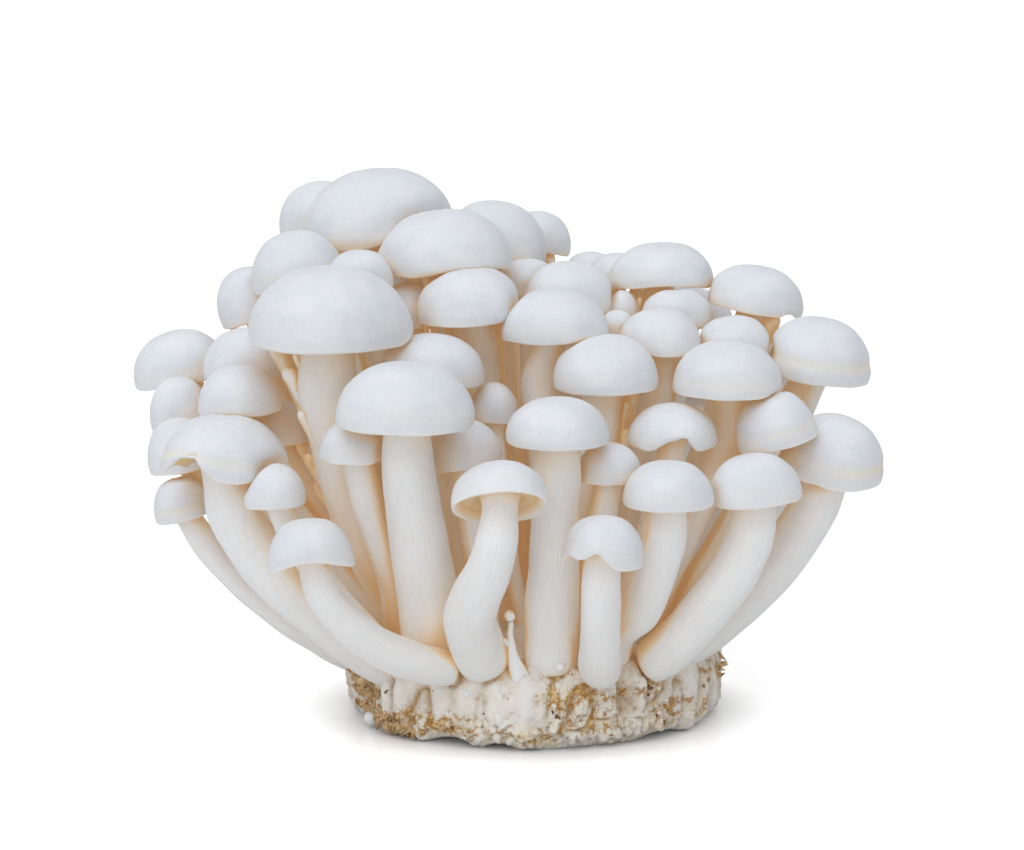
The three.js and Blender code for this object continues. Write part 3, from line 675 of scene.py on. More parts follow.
def fold_shade(grid, reach=3.5):
    """Share of the open directions that other folds block, close by."""
    folds = coarse_tree(grid)
    normals = -grid_normals(grid)
    shade = np.zeros(grid.shape[:2])
    for r in range(10, len(grid)):
        for c in range(0, grid.shape[1], 2):
            normal = Vector(normals[r, c])
            start = Vector(grid[r, c]) + normal * 0.3
            facing = [ray for ray in RAYS[::2] if ray.dot(normal) > 0.15]
            hits = sum(1 for ray in facing if folds.ray_cast(start, ray, reach)[0] is not None)
            shade[r, c] = hits / max(1, len(facing))
    shade[:, 1::2] = (shade[:, ::2] + np.roll(shade[:, ::2], -1, 1)) / 2
    return shade


fold_depth = fold_shade(plug)
felt_enclosed = enclosure_grid(plug, -grid_normals(plug), 3, 110, mushroom_tree)
print("mean shade between folds:", round(float(fold_depth.mean()), 3))
print("mean shade under stems:", round(float(felt_enclosed.mean()), 3))

# %% [markdown]
# ## Where the felt is stained
# The felt isn't evenly white. Ochre drops have dried in the lower folds at the front
# and right, with a yellow wash round them. Brown sawdust shows where the felt is thin,
# and at the left a bare patch of the brown growing substrate is left. These places are
# painted on the points as masks: soft windows over the angle and the height, with
# lace-like veins of noise in them. The material only has to choose the colours.

# %% Masks for the stains
z = plug[..., 2]
swirl = 1.5 * np.stack([rough(plug, 2.2, s) for s in (81.0, 82.0, 83.0)], -1)
lace = 1 - ridged(plug + swirl, 3.0, 84.0)
patchy = 0.5 + 0.5 * rough(plug, 5.0, 61.0, 2)
speckle = rough(plug, 1.5, 71.0, 2)
# Angle and half width in degrees, height and half height in mm, power
STAINS = [(243, 13, 3.4, 3.4, 1.0), (228, 9, 4.0, 2.5, 0.6), (266, 16, 2.5, 2.6, 0.7),
          (281, 14, 9.0, 3.4, 1.1), (290, 16, 4.5, 3.5, 0.8), (301, 9, 8.8, 2.6, 0.8),
          (318, 13, 4.6, 3.6, 1.0), (311, 4, 9.6, 2.4, 1.2), (342, 13, 9.0, 4.5, 0.8),
          (335, 10, 4.0, 3.0, 0.7), (262, 5, 8.6, 4.0, 0.4), (285, 26, 12.6, 1.3, 0.5),
          (20, 25, 5.0, 5.0, 0.8), (75, 30, 4.0, 4.5, 0.8), (120, 20, 7.0, 4.5, 0.6),
          (165, 22, 4.0, 4.5, 0.8)]
BARE = [(204, 13, 7.0, 5.5, 1.0), (221, 12, 1.6, 3.6, 1.0), (55, 22, 3.0, 4.5, 0.8),
        (135, 18, 3.0, 4.5, 0.8)]


def windows(rows):
    """The sum of soft windows over the plug's side."""
    return sum(power * around(plug_degrees, middle, half) * bump(z, height, spread)
               for middle, half, height, spread, power in rows)


zone = windows(STAINS)
wash = np.clip(0.9 * zone * patchy + 0.35 * zone + 0.5 * bump(z, 1.0, 3.5) * patchy, 0, 1)
ochre = np.clip(zone * (0.15 + 1.5 * lace ** 3) + 0.5 * crease * patchy, 0, 1)
brown = np.clip(4.0 * (lace - 0.86), 0, 1) * np.clip(2.2 * (zone - 0.35), 0, 1) * (speckle > 0.05)
substrate = np.clip(2.4 * windows(BARE) + 0.6 * speckle - 0.5, 0, 1)
print("stained share:", round(float((ochre > 0.3).mean()), 3))
print("bare share:", round(float((substrate > 0.5).mean()), 3))

# %% [markdown]
# ## Mesh the base
# The folded rows become one closed skin, with a fan under the base and one over its
# top, and the masks are stored on its points. A tree of its faces is kept, so that
# later pieces can be set on the felt itself instead of on the plain solid.

# %% The felted base
felt_mesh = closed_mesh("felted_plug", plug, plug[0].mean(0) * np.array([1, 1, 0]), plug[-1].mean(0))
felt_masks = {"wash": wash, "ochre": ochre, "substrate": substrate, "brown": brown, "crease": crease,
              "tongue": tongue, "fold_depth": fold_depth, "enclosed": felt_enclosed}
for label, values in felt_masks.items():
    store(felt_mesh, label, np.concatenate([[values[0].mean()], values.ravel(), [values[-1].mean()]]))
add_piece("felted_base", felt_mesh, "base_mycelium")
felt_surface = BVHTree.FromPolygons([tuple(v.co / MM) for v in felt_mesh.vertices],
                                    [tuple(p.vertices) for p in felt_mesh.polygons])
print("faces on the base:", len(felt_mesh.polygons))

# %% [markdown]
# ## Buds that never grew
# Between the stems stand a few small white things: a pin mushroom on a strand that
# flares at its foot, and some round buds. Each is a row of rings along a short line,
# with a radius at each ring, so one function draws them all. A bud that was seen at one
# place in the picture is set where that line of sight meets what carries it.

# %% Draw the buds
def turned_mesh(name, line, radii, columns=20, lump=0.05):
    """A skin round a line of points, with a radius at each point."""
    line = np.array(line, float)
    rows = []
    spin = 2 * np.pi * np.arange(columns) / columns
    across = np.array([1.0, 0.2, 0.1])
    for k, (middle, radius) in enumerate(zip(line, radii)):
        along = unit(line[min(k + 1, len(line) - 1)] - line[max(k - 1, 0)])
        across = unit(across - across.dot(along) * along)
        other = np.cross(along, across)
        rows.append(middle + radius * (np.cos(spin)[:, None] * across + np.sin(spin)[:, None] * other))
    rows = np.array(rows)
    rows += lump * rough(rows, 1.2, 5.0)[..., None]
    return closed_mesh(name, rows, line[0], line[-1])


def store_enclosed(mesh, extra=0.0):
    spots = [v.co / MM for v in mesh.vertices]
    store(mesh, "enclosed", enclosure(spots, [v.normal for v in mesh.vertices]) + extra)


def bud(name, low, high, foot_radius, neck_radius, head_radius, bow=0.0, steps=14):
    """A bud from low to high: a strand that narrows upward, with a round head."""
    low, high = np.array(low, float), np.array(high, float)
    length = np.linalg.norm(high - low)
    line, radii = [], []
    for t in np.linspace(0, 1, steps):
        place = low + (high - low) * t + np.array([bow * math.sin(math.pi * t), 0, 0])
        line.append(place)
        radii.append(neck_radius + (foot_radius - neck_radius) * (1 - t) ** 2.2)
    for a in np.linspace(-1.0, 1.5, 9):
        line.append(high + (high - low) / length * head_radius * (math.sin(a) + 0.6))
        radii.append(head_radius * max(0.12, math.cos(a)))
    mesh = turned_mesh(name, line, radii, lump=0.1)
    store_enclosed(mesh)
    return mesh


def sight_way(across, down):
    """Direction from the camera through a place in the picture."""
    focal = camera_data.lens / camera_data.sensor_width * PICTURE_WIDTH
    way = Vector(((across - PICTURE_WIDTH / 2) / focal, (PICTURE_HEIGHT / 2 - down) / focal, -1.0))
    return (camera.rotation_euler.to_matrix() @ way).normalized()


def on_sight(across, down, surface=tree):
    """Where the line of sight through a place in the picture meets a surface, in mm."""
    place, facing, _, _ = surface.ray_cast(camera.location / MM, sight_way(across, down))
    return np.array(place), np.array(facing)


def seated(label, across, down, radius):
    """A small round bud on a short neck, set on whatever shows at that place."""
    place, facing = on_sight(across, down)
    return label, place - facing * 0.8, place + facing * 0.1 * radius, 0.7 * radius, 0.6 * radius, radius


BUDS = [
    ("pin", (-0.4, -26.2, 8.0), (-3.9, -28.8, 22.2), 3.2, 0.42, 0.92, -1.3),
    ("pin_side", (-4.4, -28.2, 18.0), (-6.2, -28.9, 19.8), 0.6, 0.3, 0.5),
    seated("bud_right", 558, 665, 0.8), seated("bud_middle", 526, 666, 0.45),
    ("bud_left", (-11.4, -25.0, 10.2), (-11.1, -26.8, 9.5), 0.9, 0.5, 0.55),
    ("bud_low_left", (-25.2, -11.8, 2.4), (-26.6, -13.0, 1.9), 1.2, 1.0, 1.25),
    ("bud_back", (8.0, 27.0, 9.5), (8.6, 28.6, 11.4), 1.0, 0.5, 0.8),
    ("bud_back_left", (-19.0, 21.0, 8.0), (-20.4, 22.4, 9.6), 0.9, 0.5, 0.7),
]
bud_pieces = [add_piece(label, bud(label, *rest)) for label, *rest in BUDS]
print("buds:", len(bud_pieces))

# %% [markdown]
# ## Young stems deep inside
# Inside a real cluster the room between the big stems is full of thin ones whose caps
# never opened. They can't be counted from outside, but without them the light shines
# straight through. A search places them. Lines of sight are tested from six sides, and
# where one passes through the cluster, the best hidden place along it gets a young
# mushroom: a thin stem from the plug, with a head as big as the room allows. A gap
# that the search leaves open in the picture is listed and filled first.

# %% Search for lines of sight and fill them
def free_room(point):
    """Distance from a point to the nearest mushroom, below zero inside one."""
    place, normal, _, distance = mushroom_tree.find_nearest(Vector(point), 12)
    if place is None:
        return 12.0
    return -distance if (Vector(point) - place).dot(normal) < 0 else distance


def top_of_plug(x, y):
    share = min(1.0, math.hypot(x, y) / float(plug_radius(math.atan2(y, x))))
    return CROWN_HEIGHT + (float(rim_height(math.atan2(y, x))) - CROWN_HEIGHT) * share ** 3


def sight_holes(azimuth, step=1.0):
    """Lines of sight that pass right through the cluster, as points and directions."""
    turned = math.radians(azimuth)
    across = Vector((math.cos(turned), math.sin(turned), 0))
    ahead = Vector((-math.sin(turned) * math.cos(tilt), math.cos(turned) * math.cos(tilt), -math.sin(tilt)))
    upward = across.cross(ahead)
    middle = Vector((-4, 0, 46))
    us, vs = np.arange(-62, 62, step), np.arange(-34, 36, step)
    blocked = np.zeros((len(vs), len(us)), bool)
    for i, v in enumerate(vs):
        for j, u in enumerate(us):
            start = middle + across * u + upward * v - ahead * 120
            blocked[i, j] = tree.ray_cast(start, ahead, 240)[0] is not None
    enclosed = ~blocked
    for axis, way in ((0, 1), (0, -1), (1, 1), (1, -1)):
        found = np.zeros_like(blocked)
        for k in range(1, 10):
            found |= np.roll(blocked, way * k, axis)
        enclosed &= found
    return [(middle + across * us[j] + upward * vs[i], ahead) for i, j in zip(*np.nonzero(enclosed))]


def shut_in(spot, reach=32.0):
    """Share of all directions that meet a mushroom, or 0 under open sky."""
    if tree.ray_cast(spot, Vector((0, 0, 1)), reach)[0] is None:
        return 0.0
    return sum(1 for ray in RAYS if tree.ray_cast(spot, ray, reach)[0] is not None) / len(RAYS)


def best_spot(point, ahead, least, step=3.0):
    """The best hidden place on a line of sight: how hidden, its room, and where."""
    best = (least, 0.0, None)
    for along in np.arange(-30, 32, step):
        spot = point + ahead * along
        if spot.z < 20 or math.hypot(spot.x, spot.y) > 0.8 * (spot.z + 6):
            continue
        hidden = shut_in(spot)
        if hidden > best[0]:
            room = free_room(spot)
            if room > 0.6:
                best = (hidden, room, np.array(spot))
    return best


def young_mushrooms(views, wanted):
    """Places on those lines that the others hide best, each with the room it has."""
    places = []
    for azimuth in views:
        for point, ahead in sight_holes(azimuth):
            best = best_spot(point, ahead, 0.68)
            if best[2] is not None:
                places.append(best)
    places.sort(key=lambda item: -item[0])
    kept = []
    for across, down in LEFT_OPEN:
        way = sight_way(across, down)
        _, room, spot = best_spot(camera.location / MM + way * CAMERA_FAR, way, 0.3, 1.0)
        if spot is not None:
            kept.append((min(room - 0.1, LARGEST_HEAD), spot))
    for hidden, room, spot in places:
        radius = min(room - 0.1, LARGEST_HEAD)
        if all(np.linalg.norm(spot - other) > 1.15 * (radius + size) for size, other in kept):
            kept.append((radius, spot))
        if len(kept) == wanted:
            break
    return kept


def young_mesh(k, radius, spot):
    """A stem that leads from the plug up to a free place, with a rounded head there."""
    x, y = 0.42 * spot[0], 0.42 * spot[1]
    low = np.array([x, y, top_of_plug(x, y) - 1.5])
    middle = np.array([0.65 * spot[0], 0.65 * spot[1], 0.45 * spot[2]])
    t = np.linspace(0, 1, 18)[:, None]
    line = (1 - t) ** 2 * low + 2 * t * (1 - t) * middle + t**2 * spot
    widths = np.clip([free_room(p) - 0.15 for p in line], 0.7, 0.55 * radius + 0.25)
    widths = np.convolve(np.pad(widths, 2, mode="edge"), [0.1, 0.2, 0.4, 0.2, 0.1], mode="valid")
    up = unit(line[-1] - line[-2])
    head = 0.85 * radius
    turns = (-0.5, 0.0, 0.5, 0.9, 1.25)
    line = [*line[:-1], *(line[-1] + 1.3 * up * head * math.sin(a) for a in turns)]
    radii = [*widths[:-1], *(head * math.cos(a) for a in turns)]
    mesh = turned_mesh(f"young_stem_{k + 1:02d}", line, radii, 16, 0.08)
    # Painted shade: 0.12 more enclosure makes the young stems tan, so they sink into the shade between the
    # big stems.
    store_enclosed(mesh, 0.12)
    return mesh


LARGEST_HEAD = 1.9
LEFT_OPEN = [(306, 446)]
SIDES = (0, 180, 60, 120, 240, 300)
young_meshes = [young_mesh(k, *place) for k, place in enumerate(young_mushrooms(SIDES, 70))]
young_pieces = [add_piece(mesh.name, mesh) for mesh in young_meshes]
print("young stems:", len(young_pieces))

# %% [markdown]
# ## Sawdust crumbs
# Bits of the brown sawdust that the felt grew through stick out of it, most at the
# bare patch on the left and along the lower edge. Each crumb is a small block with
# uneven corners. Rays from outside find where the folded felt is, and the crumb is
# set half into it, lying flat or standing out like a splinter. A few dark flakes lie
# on caps and felt. Each is two crossed blocks, where its line of sight ends.

# %% Scatter the crumbs
BLOCK = [(0, 1, 3, 2), (4, 6, 7, 5), (0, 4, 5, 1), (2, 3, 7, 6), (0, 2, 6, 4), (1, 5, 7, 3)]


def crumb(rng, centre, outward, length, width, stand=0.0):
    """Corners of one splinter of sawdust; stand tips its length outward."""
    lean = unit(np.array([rng.gauss(0, 1), rng.gauss(0, 1), rng.gauss(0, 1)]))
    long_way = unit(unit(np.cross(outward, lean)) + stand * outward)
    third = np.cross(outward, long_way)
    corners = []
    for sx in (-1, 1):
        for sy in (-1, 1):
            for sz in (-1, 1):
                reach = long_way * sx * length + third * sy * width + outward * sz * width * 0.7
                corners.append(centre + reach * 0.5 * rng.uniform(0.4, 1.0))
    return corners


def block_mesh(name, blocks):
    """One mesh of many blocks, each given by its eight corners."""
    points = [tuple(corner * MM) for corners in blocks for corner in corners]
    faces = [tuple(8 * k + i for i in face) for k in range(len(blocks)) for face in BLOCK]
    mesh = bpy.data.meshes.new(name)
    mesh.from_pydata(points, [], faces)
    return mesh


def scatter_crumbs(spots, seed):
    """Crumbs over windows on the plug's side."""
    rng = random.Random(seed)
    blocks = []
    for middle, half, height, spread, count, size, stand in spots:
        for _ in range(count):
            angle = math.radians(middle + half * rng.uniform(-1, 1))
            z_here = max(0.5, height + spread * rng.uniform(-1, 1))
            outward = Vector((math.cos(angle), math.sin(angle), 0))
            hit = felt_surface.ray_cast(outward * 50 + Vector((0, 0, z_here)), -outward)
            if hit[0] is None:
                continue
            length = size * rng.uniform(0.5, 1.6)
            width = size * rng.uniform(0.25, 0.6) * (1 + 0.6 * stand)
            centre = np.array(hit[0]) + np.array(outward) * width * rng.uniform(-0.1, 0.35)
            centre[2] = max(centre[2], 0.6 * length)
            blocks.append(crumb(rng, centre, np.array(outward), length, width, stand))
    return block_mesh("sawdust", blocks)


# Angle and half width in degrees, height and half height in mm, count, size in mm, stand
SAWDUST = [(204, 12, 7.0, 4.5, 90, 1.5, 0.3), (200, 9, 7.0, 4.5, 26, 2.5, 0.7),
           (221, 11, 2.2, 2.0, 50, 1.3, 0.3), (318, 9, 4.6, 2.4, 16, 0.9, 0.2),
           (311, 2, 9.4, 1.2, 7, 0.9, 0.1), (342, 8, 9.0, 3.0, 12, 1.3, 0.3),
           (355, 8, 8.0, 4.0, 13, 1.7, 0.9), (281, 8, 8.0, 2.0, 5, 0.5, 0.1),
           (245, 8, 2.2, 1.2, 7, 0.6, 0.3), (295, 28, 2.0, 1.4, 6, 0.4, 0.2),
           (0, 180, 5.0, 4.5, 14, 0.4, 0.2), (55, 20, 3.5, 3.0, 50, 1.2, 0.3),
           (135, 17, 3.5, 3.0, 50, 1.2, 0.3), (95, 55, 5.0, 4.0, 24, 0.8, 0.3)]
sawdust_mesh = scatter_crumbs(SAWDUST, 11)
add_piece("sawdust_crumbs", sawdust_mesh)
print("crumbs:", len(sawdust_mesh.polygons) // len(BLOCK))

# %% Dark specks that lie on caps and felt
# Place in the picture in pixels, size in mm
SPECKS = [(573, 402, 0.5), (279, 291, 0.35), (347, 271, 0.35), (650, 688, 1.0), (648, 694, 0.7),
          (657, 715, 0.8), (663, 722, 0.9), (557, 716, 0.9), (552, 712, 0.6), (483, 714, 0.5),
          (612, 735, 0.6), (310, 278, 0.35), (387, 692, 0.7), (452, 727, 0.7), (708, 680, 0.9)]
FELT_TOP = 15.0


def scatter_specks(spots, seed):
    """Two crossed dark flakes at each place in the picture, lying on whatever shows there."""
    rng = random.Random(seed)
    blocks = []
    for across, down, size in spots:
        place, facing = on_sight(across, down)
        rise = 0.16
        if place[2] < FELT_TOP:
            place, facing = on_sight(across, down, felt_surface)
            rise = 0.05
        for length, width in ((1.3 * size, 0.55 * size), (0.8 * size, 0.45 * size)):
            aside = np.array([rng.uniform(-0.3, 0.3), 0.0, rng.uniform(-0.3, 0.3)]) * size
            blocks.append(crumb(rng, place + facing * rise + aside, facing, length, width))
    return block_mesh("dark_specks", blocks)


specks_mesh = scatter_specks(SPECKS, 3)
add_piece("dark_specks", specks_mesh)
print("specks:", len(SPECKS))

# %% [markdown]
# ## A short way to write node trees
# A procedural finish is a net of small nodes. Each method below adds one node and
# returns its output, so that a finish reads like a formula. An input takes the output of
# another node, a number or a colour.

# %% The net
class Net:
    def __init__(self, tree):
        self.tree = tree

    def put(self, value, socket):
        if isinstance(value, bpy.types.NodeSocket):
            self.tree.links.new(value, socket)
        elif value is not None:
            socket.default_value = (*value, 1.0) if isinstance(value, tuple) else value

    def add(self, kind, **inputs):
        node = self.tree.nodes.new("ShaderNode" + kind)
        for label, value in inputs.items():
            self.put(value, node.inputs[label.replace("_", " ")])
        return node

    def math(self, kind, a, b=None, clamp=False):
        node = self.add("Math")
        node.operation = kind
        node.use_clamp = clamp
        self.put(a, node.inputs[0])
        self.put(b, node.inputs[1])
        return node.outputs[0]

    def times(self, a, b, clamp=False):
        return self.math("MULTIPLY", a, b, clamp)

    def plus(self, a, b, clamp=False):
        return self.math("ADD", a, b, clamp)

    def past(self, value, start, slope):
        """How far a value is past its start, times a slope, held between 0 and 1."""
        return self.times(self.math("SUBTRACT", value, start), slope, clamp=True)

    def noise(self, vector, scale, detail, roughness):
        node = self.add("TexNoise", Vector=vector, Scale=scale, Detail=detail, Roughness=roughness)
        return node.outputs["Fac"]

    def read(self, name, output="Fac"):
        node = self.add("Attribute")
        node.attribute_name = name
        return node.outputs[output]

    def effect(self, group, **inputs):
        """A shared group's outputs, with this finish's own values."""
        node = self.tree.nodes.new("ShaderNodeGroup")
        node.node_tree = group
        for label, value in inputs.items():
            self.put(value, node.inputs[label.replace("_", " ")])
        return node.outputs

    def blend(self, share, below, above):
        """From one colour to another."""
        node = self.add("Mix")
        node.data_type = "RGBA"
        for place, value in ((6, below), (7, above), (0, share)):
            self.put(value, node.inputs[place])
        return node.outputs[2]

    def bump(self, height, strength, distance, under=None):
        node = self.add("Bump", Strength=strength, Distance=distance, Height=height, Normal=under)
        return node.outputs[0]


print("ready to write node trees")

# %% [markdown]
# ## Effects that several finishes share
# Mottling shows on caps, felt, sawdust, flakes and the table, and fibres on stems and
# felt, so each is a node group with its own values in every material. A group only
# gives out masks and heights. The shader itself stays in the material.

# %% Two shared node groups
def new_group(name, inputs, outputs):
    """A group with number inputs next to its vector, and its net, inputs and outputs."""
    group = bpy.data.node_groups.new(name, "ShaderNodeTree")
    group.interface.new_socket("Vector", in_out="INPUT", socket_type="NodeSocketVector")
    for label, value in inputs.items():
        socket = group.interface.new_socket(label, in_out="INPUT", socket_type="NodeSocketFloat")
        socket.default_value = value
    for label in outputs:
        group.interface.new_socket(label, in_out="OUTPUT", socket_type="NodeSocketFloat")
    given, out = group.nodes.new("NodeGroupInput"), group.nodes.new("NodeGroupOutput")
    return group, Net(group), given.outputs, out.inputs


def mottle_group():
    """Cloudy patches with fine pores in them."""
    scales = {"Patch Scale": 160.0, "Pore Scale": 900.0}
    group, net, given, out = new_group("mottle", scales, ("Mask", "Pores", "Height"))
    patches = net.noise(given["Vector"], given["Patch Scale"], 4.0, 0.6)
    pores = net.noise(given["Vector"], given["Pore Scale"], 2.0, 0.5)
    net.put(net.past(patches, 0.36, 3.4), out["Mask"])
    net.put(net.times(net.math("SUBTRACT", 0.43, pores), 9.0, clamp=True), out["Pores"])
    net.put(net.plus(net.times(patches, 0.45), net.times(pores, 0.55)), out["Height"])
    return group


def fibre_group():
    """Long thin streaks along the third axis of the vector."""
    group, net, given, out = new_group("fibres", {"Fineness": 3.0, "Length": 8.0}, ("Mask", "Height"))
    across, other, along = net.add("SeparateXYZ", Vector=given["Vector"]).outputs
    stretched = net.add("CombineXYZ", X=across, Y=other, Z=net.math("DIVIDE", along, given["Length"]))
    streaks = net.noise(stretched.outputs[0], given["Fineness"], 3.0, 0.6)
    net.put(net.past(streaks, 0.38, 4.0), out["Mask"])
    net.put(streaks, out["Height"])
    return group


mottle, fibres = mottle_group(), fibre_group()
print("shared groups:", mottle.name, "and", fibres.name)

# %% [markdown]
# ## The flesh of the mushrooms
# The flesh is pale, slightly translucent and has a satin skin. The caps are a cool
# white with cloudy patches, the stems are creamier with fine fibres, the gills and the
# groove above the rim are warmer still. Caps and stems are one flesh, so part of that
# difference is painted light: the caps' cool tint is painted cool light from above, and
# the stems are set brighter because they stand in the caps' shade. Deep inside the
# cluster the colour goes to a painted tan shade, and a faint warm glow is painted light
# that stands for the light that has bounced about in there.
# Subsurface scattering softens the shading as it does in real flesh.

# %% Start a material, and give its shader plain values
def new_material(name):
    """A material, its net, its shader's inputs, and the object's own coordinates."""
    material = bpy.data.materials.new(name)
    material.use_nodes = True
    net = Net(material.node_tree)
    shader = next(n for n in net.tree.nodes if n.type == "BSDF_PRINCIPLED")
    return material, net, shader.inputs, net.add("TexCoord").outputs["Object"]


def finish(shader, values):
    for label, value in values.items():
        shader[label].default_value = value


print("ready for the materials")

# %% The mushroom flesh
flesh, net, shader, place = new_material("mushroom_flesh")
cap = net.read("cap")
not_cap = net.math("SUBTRACT", 1.0, cap)
cloudy = net.effect(mottle, Vector=place, Patch_Scale=190.0, Pore_Scale=1500.0)
streaks = net.effect(fibres, Vector=net.read("grain", "Vector"), Fineness=8.0, Length=30.0)
# Partly painted light: caps and stems are one flesh, but the caps are set cooler and darker and the stems
# brighter, to make up for the cool top light on the caps and the caps' shade over the stems.
cap_colour = net.blend(cloudy["Mask"], (0.70, 0.715, 0.75), (0.755, 0.765, 0.79))
cap_colour = net.blend(net.times(cloudy["Pores"], 0.28), cap_colour, (0.61, 0.62, 0.65))
stem_colour = net.blend(streaks["Mask"], (0.86, 0.855, 0.845), (0.925, 0.925, 0.93))
colour = net.blend(cap, stem_colour, cap_colour)
for mask, power, tint in (("rim", 0.4, (0.88, 0.86, 0.82)), ("groove", 0.7, (0.84, 0.76, 0.60)),
                          ("gill", 0.6, (0.90, 0.80, 0.71))):
    colour = net.blend(net.times(net.read(mask), power), colour, tint)
# Painted shade: the stems get darker towards their feet, low over the felt.
low = net.times(net.read("foot"), not_cap)
colour = net.blend(net.times(low, 0.5), colour, (0.75, 0.735, 0.69))

# Painted shade and painted light: enclosed places turn peach, then tan, and the peach mask also glows
# faintly, for the shade and the bounced light between the stems.
inside = net.read("enclosed")
cap_share = net.math("SUBTRACT", 1.0, net.times(cap, 0.62))
peach = net.times(net.past(inside, 0.33, 2.2), cap_share)
deep = net.times(net.past(inside, 0.50, 3.2), cap_share)
colour = net.blend(net.times(peach, 0.75), colour, (0.90, 0.785, 0.60))
colour = net.blend(net.times(deep, 0.9), colour, (0.72, 0.48, 0.22))
net.put(colour, shader["Base Color"])
net.put(net.blend(peach, (0.0, 0.0, 0.0), (1.0, 0.73, 0.43)), shader["Emission Color"])
net.put(net.plus(net.times(cloudy["Mask"], 0.12), 0.42), shader["Roughness"])
finish(shader, {"Emission Strength": 0.1, "Specular IOR Level": 0.3, "Subsurface Weight": 0.3,
                "Subsurface Radius": (1.0, 0.82, 0.66), "Subsurface Scale": 0.0018})
skin_bump = net.bump(cloudy["Height"], 0.45, 0.00014)
net.put(net.bump(net.times(streaks["Height"], not_cap), 0.6, 0.0002, skin_bump), shader["Normal"])
for piece in mushrooms + bud_pieces + young_pieces:
    piece.data.materials.append(flesh)
print("flesh has", len(net.tree.nodes), "nodes")

# %% [markdown]
# ## The felt and its stains
# The felt is the mycelium itself: dry, matt and cream-white. The masks on its points
# say where it is stained or shaded. Noise in the material breaks their edges up finer
# than the points can, and the fibres group, turned upright, gives the felt its nap. The
# colours lie over each other like coats: painted shade between the folds, the yellow
# wash, dark crease lines that are painted shade partly tinted brown like a stain, soft
# ochre stains, thin brown veins, the white tongue, bare substrate, brown bits, and last
# the painted tan shade under the stems.

# %% The felt's masks, broken up
felt, net, shader, place = new_material("felted_mycelium")
cloud = net.effect(mottle, Vector=place, Patch_Scale=300.0, Pore_Scale=2100.0)
in_mm = net.add("VectorMath", Vector=place)
in_mm.operation = "SCALE"
in_mm.inputs["Scale"].default_value = 1000.0
nap = net.effect(fibres, Vector=in_mm.outputs[0], Fineness=2.4, Length=5.0)
edge = net.times(net.math("SUBTRACT", net.noise(place, 520.0, 4.0, 0.65), 0.5), 1.6)
spot, fold = net.read("ochre"), net.read("crease")
half_edge = net.times(edge, 0.5)


def vein_lines(scale, sharpness):
    """Thin lines where a noise passes through its middle value."""
    off = net.math("ABSOLUTE", net.math("SUBTRACT", net.noise(place, scale, 2.0, 0.5), 0.5))
    return net.math("SUBTRACT", 1.0, net.times(off, sharpness), clamp=True)


valley = net.times(net.times(net.read("fold_depth"), 1.2, clamp=True), 0.8)
dyed = net.times(net.read("wash"), 0.42)
washed = net.plus(dyed, net.times(dyed, edge), clamp=True)
# Painted shade in the creases, partly a brown stain: dark lines along the pleats' creases.
crease_shade_and_stain = net.times(net.times(net.plus(fold, half_edge), fold), 1.2, clamp=True)
soft = net.times(net.past(net.plus(spot, half_edge), 0.28, 1.7), 0.8)
veins = net.math("MAXIMUM", vein_lines(330.0, 24.0), vein_lines(760.0, 13.0))
veins = net.times(net.times(veins, net.times(spot, 2.2, clamp=True)), 0.95)
bare = net.past(net.plus(net.read("substrate"), net.times(edge, 0.6)), 0.25, 3.0)
husk = net.blend(nap["Mask"], (0.26, 0.13, 0.04), (0.76, 0.56, 0.30))
under_stems = net.times(net.past(net.read("enclosed"), 0.5, 3.0), 0.85)
print("felt masks have", len(net.tree.nodes), "nodes")

# %% The felt's coats of colour
COATS = [(net.times(nap["Mask"], 0.4), (0.925, 0.91, 0.885)), (valley, (0.58, 0.44, 0.27)),
         (washed, (0.83, 0.70, 0.42)), (crease_shade_and_stain, (0.46, 0.28, 0.09)), (soft, (0.71, 0.41, 0.085)),
         (veins, (0.37, 0.165, 0.018)), (net.times(net.read("tongue"), 0.8), (0.88, 0.875, 0.86)),
         (bare, husk), (net.read("brown"), (0.16, 0.065, 0.02)), (under_stems, (0.62, 0.42, 0.21))]
colour = net.blend(cloud["Mask"], (0.80, 0.745, 0.655), (0.91, 0.885, 0.85))
for share, coat in COATS:
    colour = net.blend(share, colour, coat)
net.put(colour, shader["Base Color"])
net.put(net.plus(net.times(cloud["Mask"], 0.2), 0.68), shader["Roughness"])
finish(shader, {"Specular IOR Level": 0.25, "Sheen Weight": 0.15, "Sheen Roughness": 0.6,
                "Subsurface Weight": 0.15, "Subsurface Radius": (1.0, 0.6, 0.35),
                "Subsurface Scale": 0.001})
felt_bump = net.bump(cloud["Height"], 0.4, 0.00025)
net.put(net.bump(nap["Height"], 0.7, 0.0004, felt_bump), shader["Normal"])
felt_mesh.materials.append(felt)
print("felt has", len(net.tree.nodes), "nodes")

# %% [markdown]
# ## Sawdust and flakes
# The crumbs are bits of wood: dull, fibrous, and each a little lighter or darker than
# the next. The flakes are bits of dark bark. One function makes both, because only the
# colours, the grain size and the gloss differ.

# %% The sawdust and the dark flakes
def wood_material(name, scales, colours, gloss, bump_values):
    """A mottled wood; gloss is the spread and the start of its roughness."""
    material, net, shader, place = new_material(name)
    grain = net.effect(mottle, Vector=place, Patch_Scale=scales[0], Pore_Scale=scales[1])
    net.put(net.blend(grain["Mask"], *colours), shader["Base Color"])
    net.put(net.plus(net.times(grain["Mask"], gloss[0]), gloss[1]), shader["Roughness"])
    net.put(net.bump(grain["Height"], *bump_values), shader["Normal"])
    return material


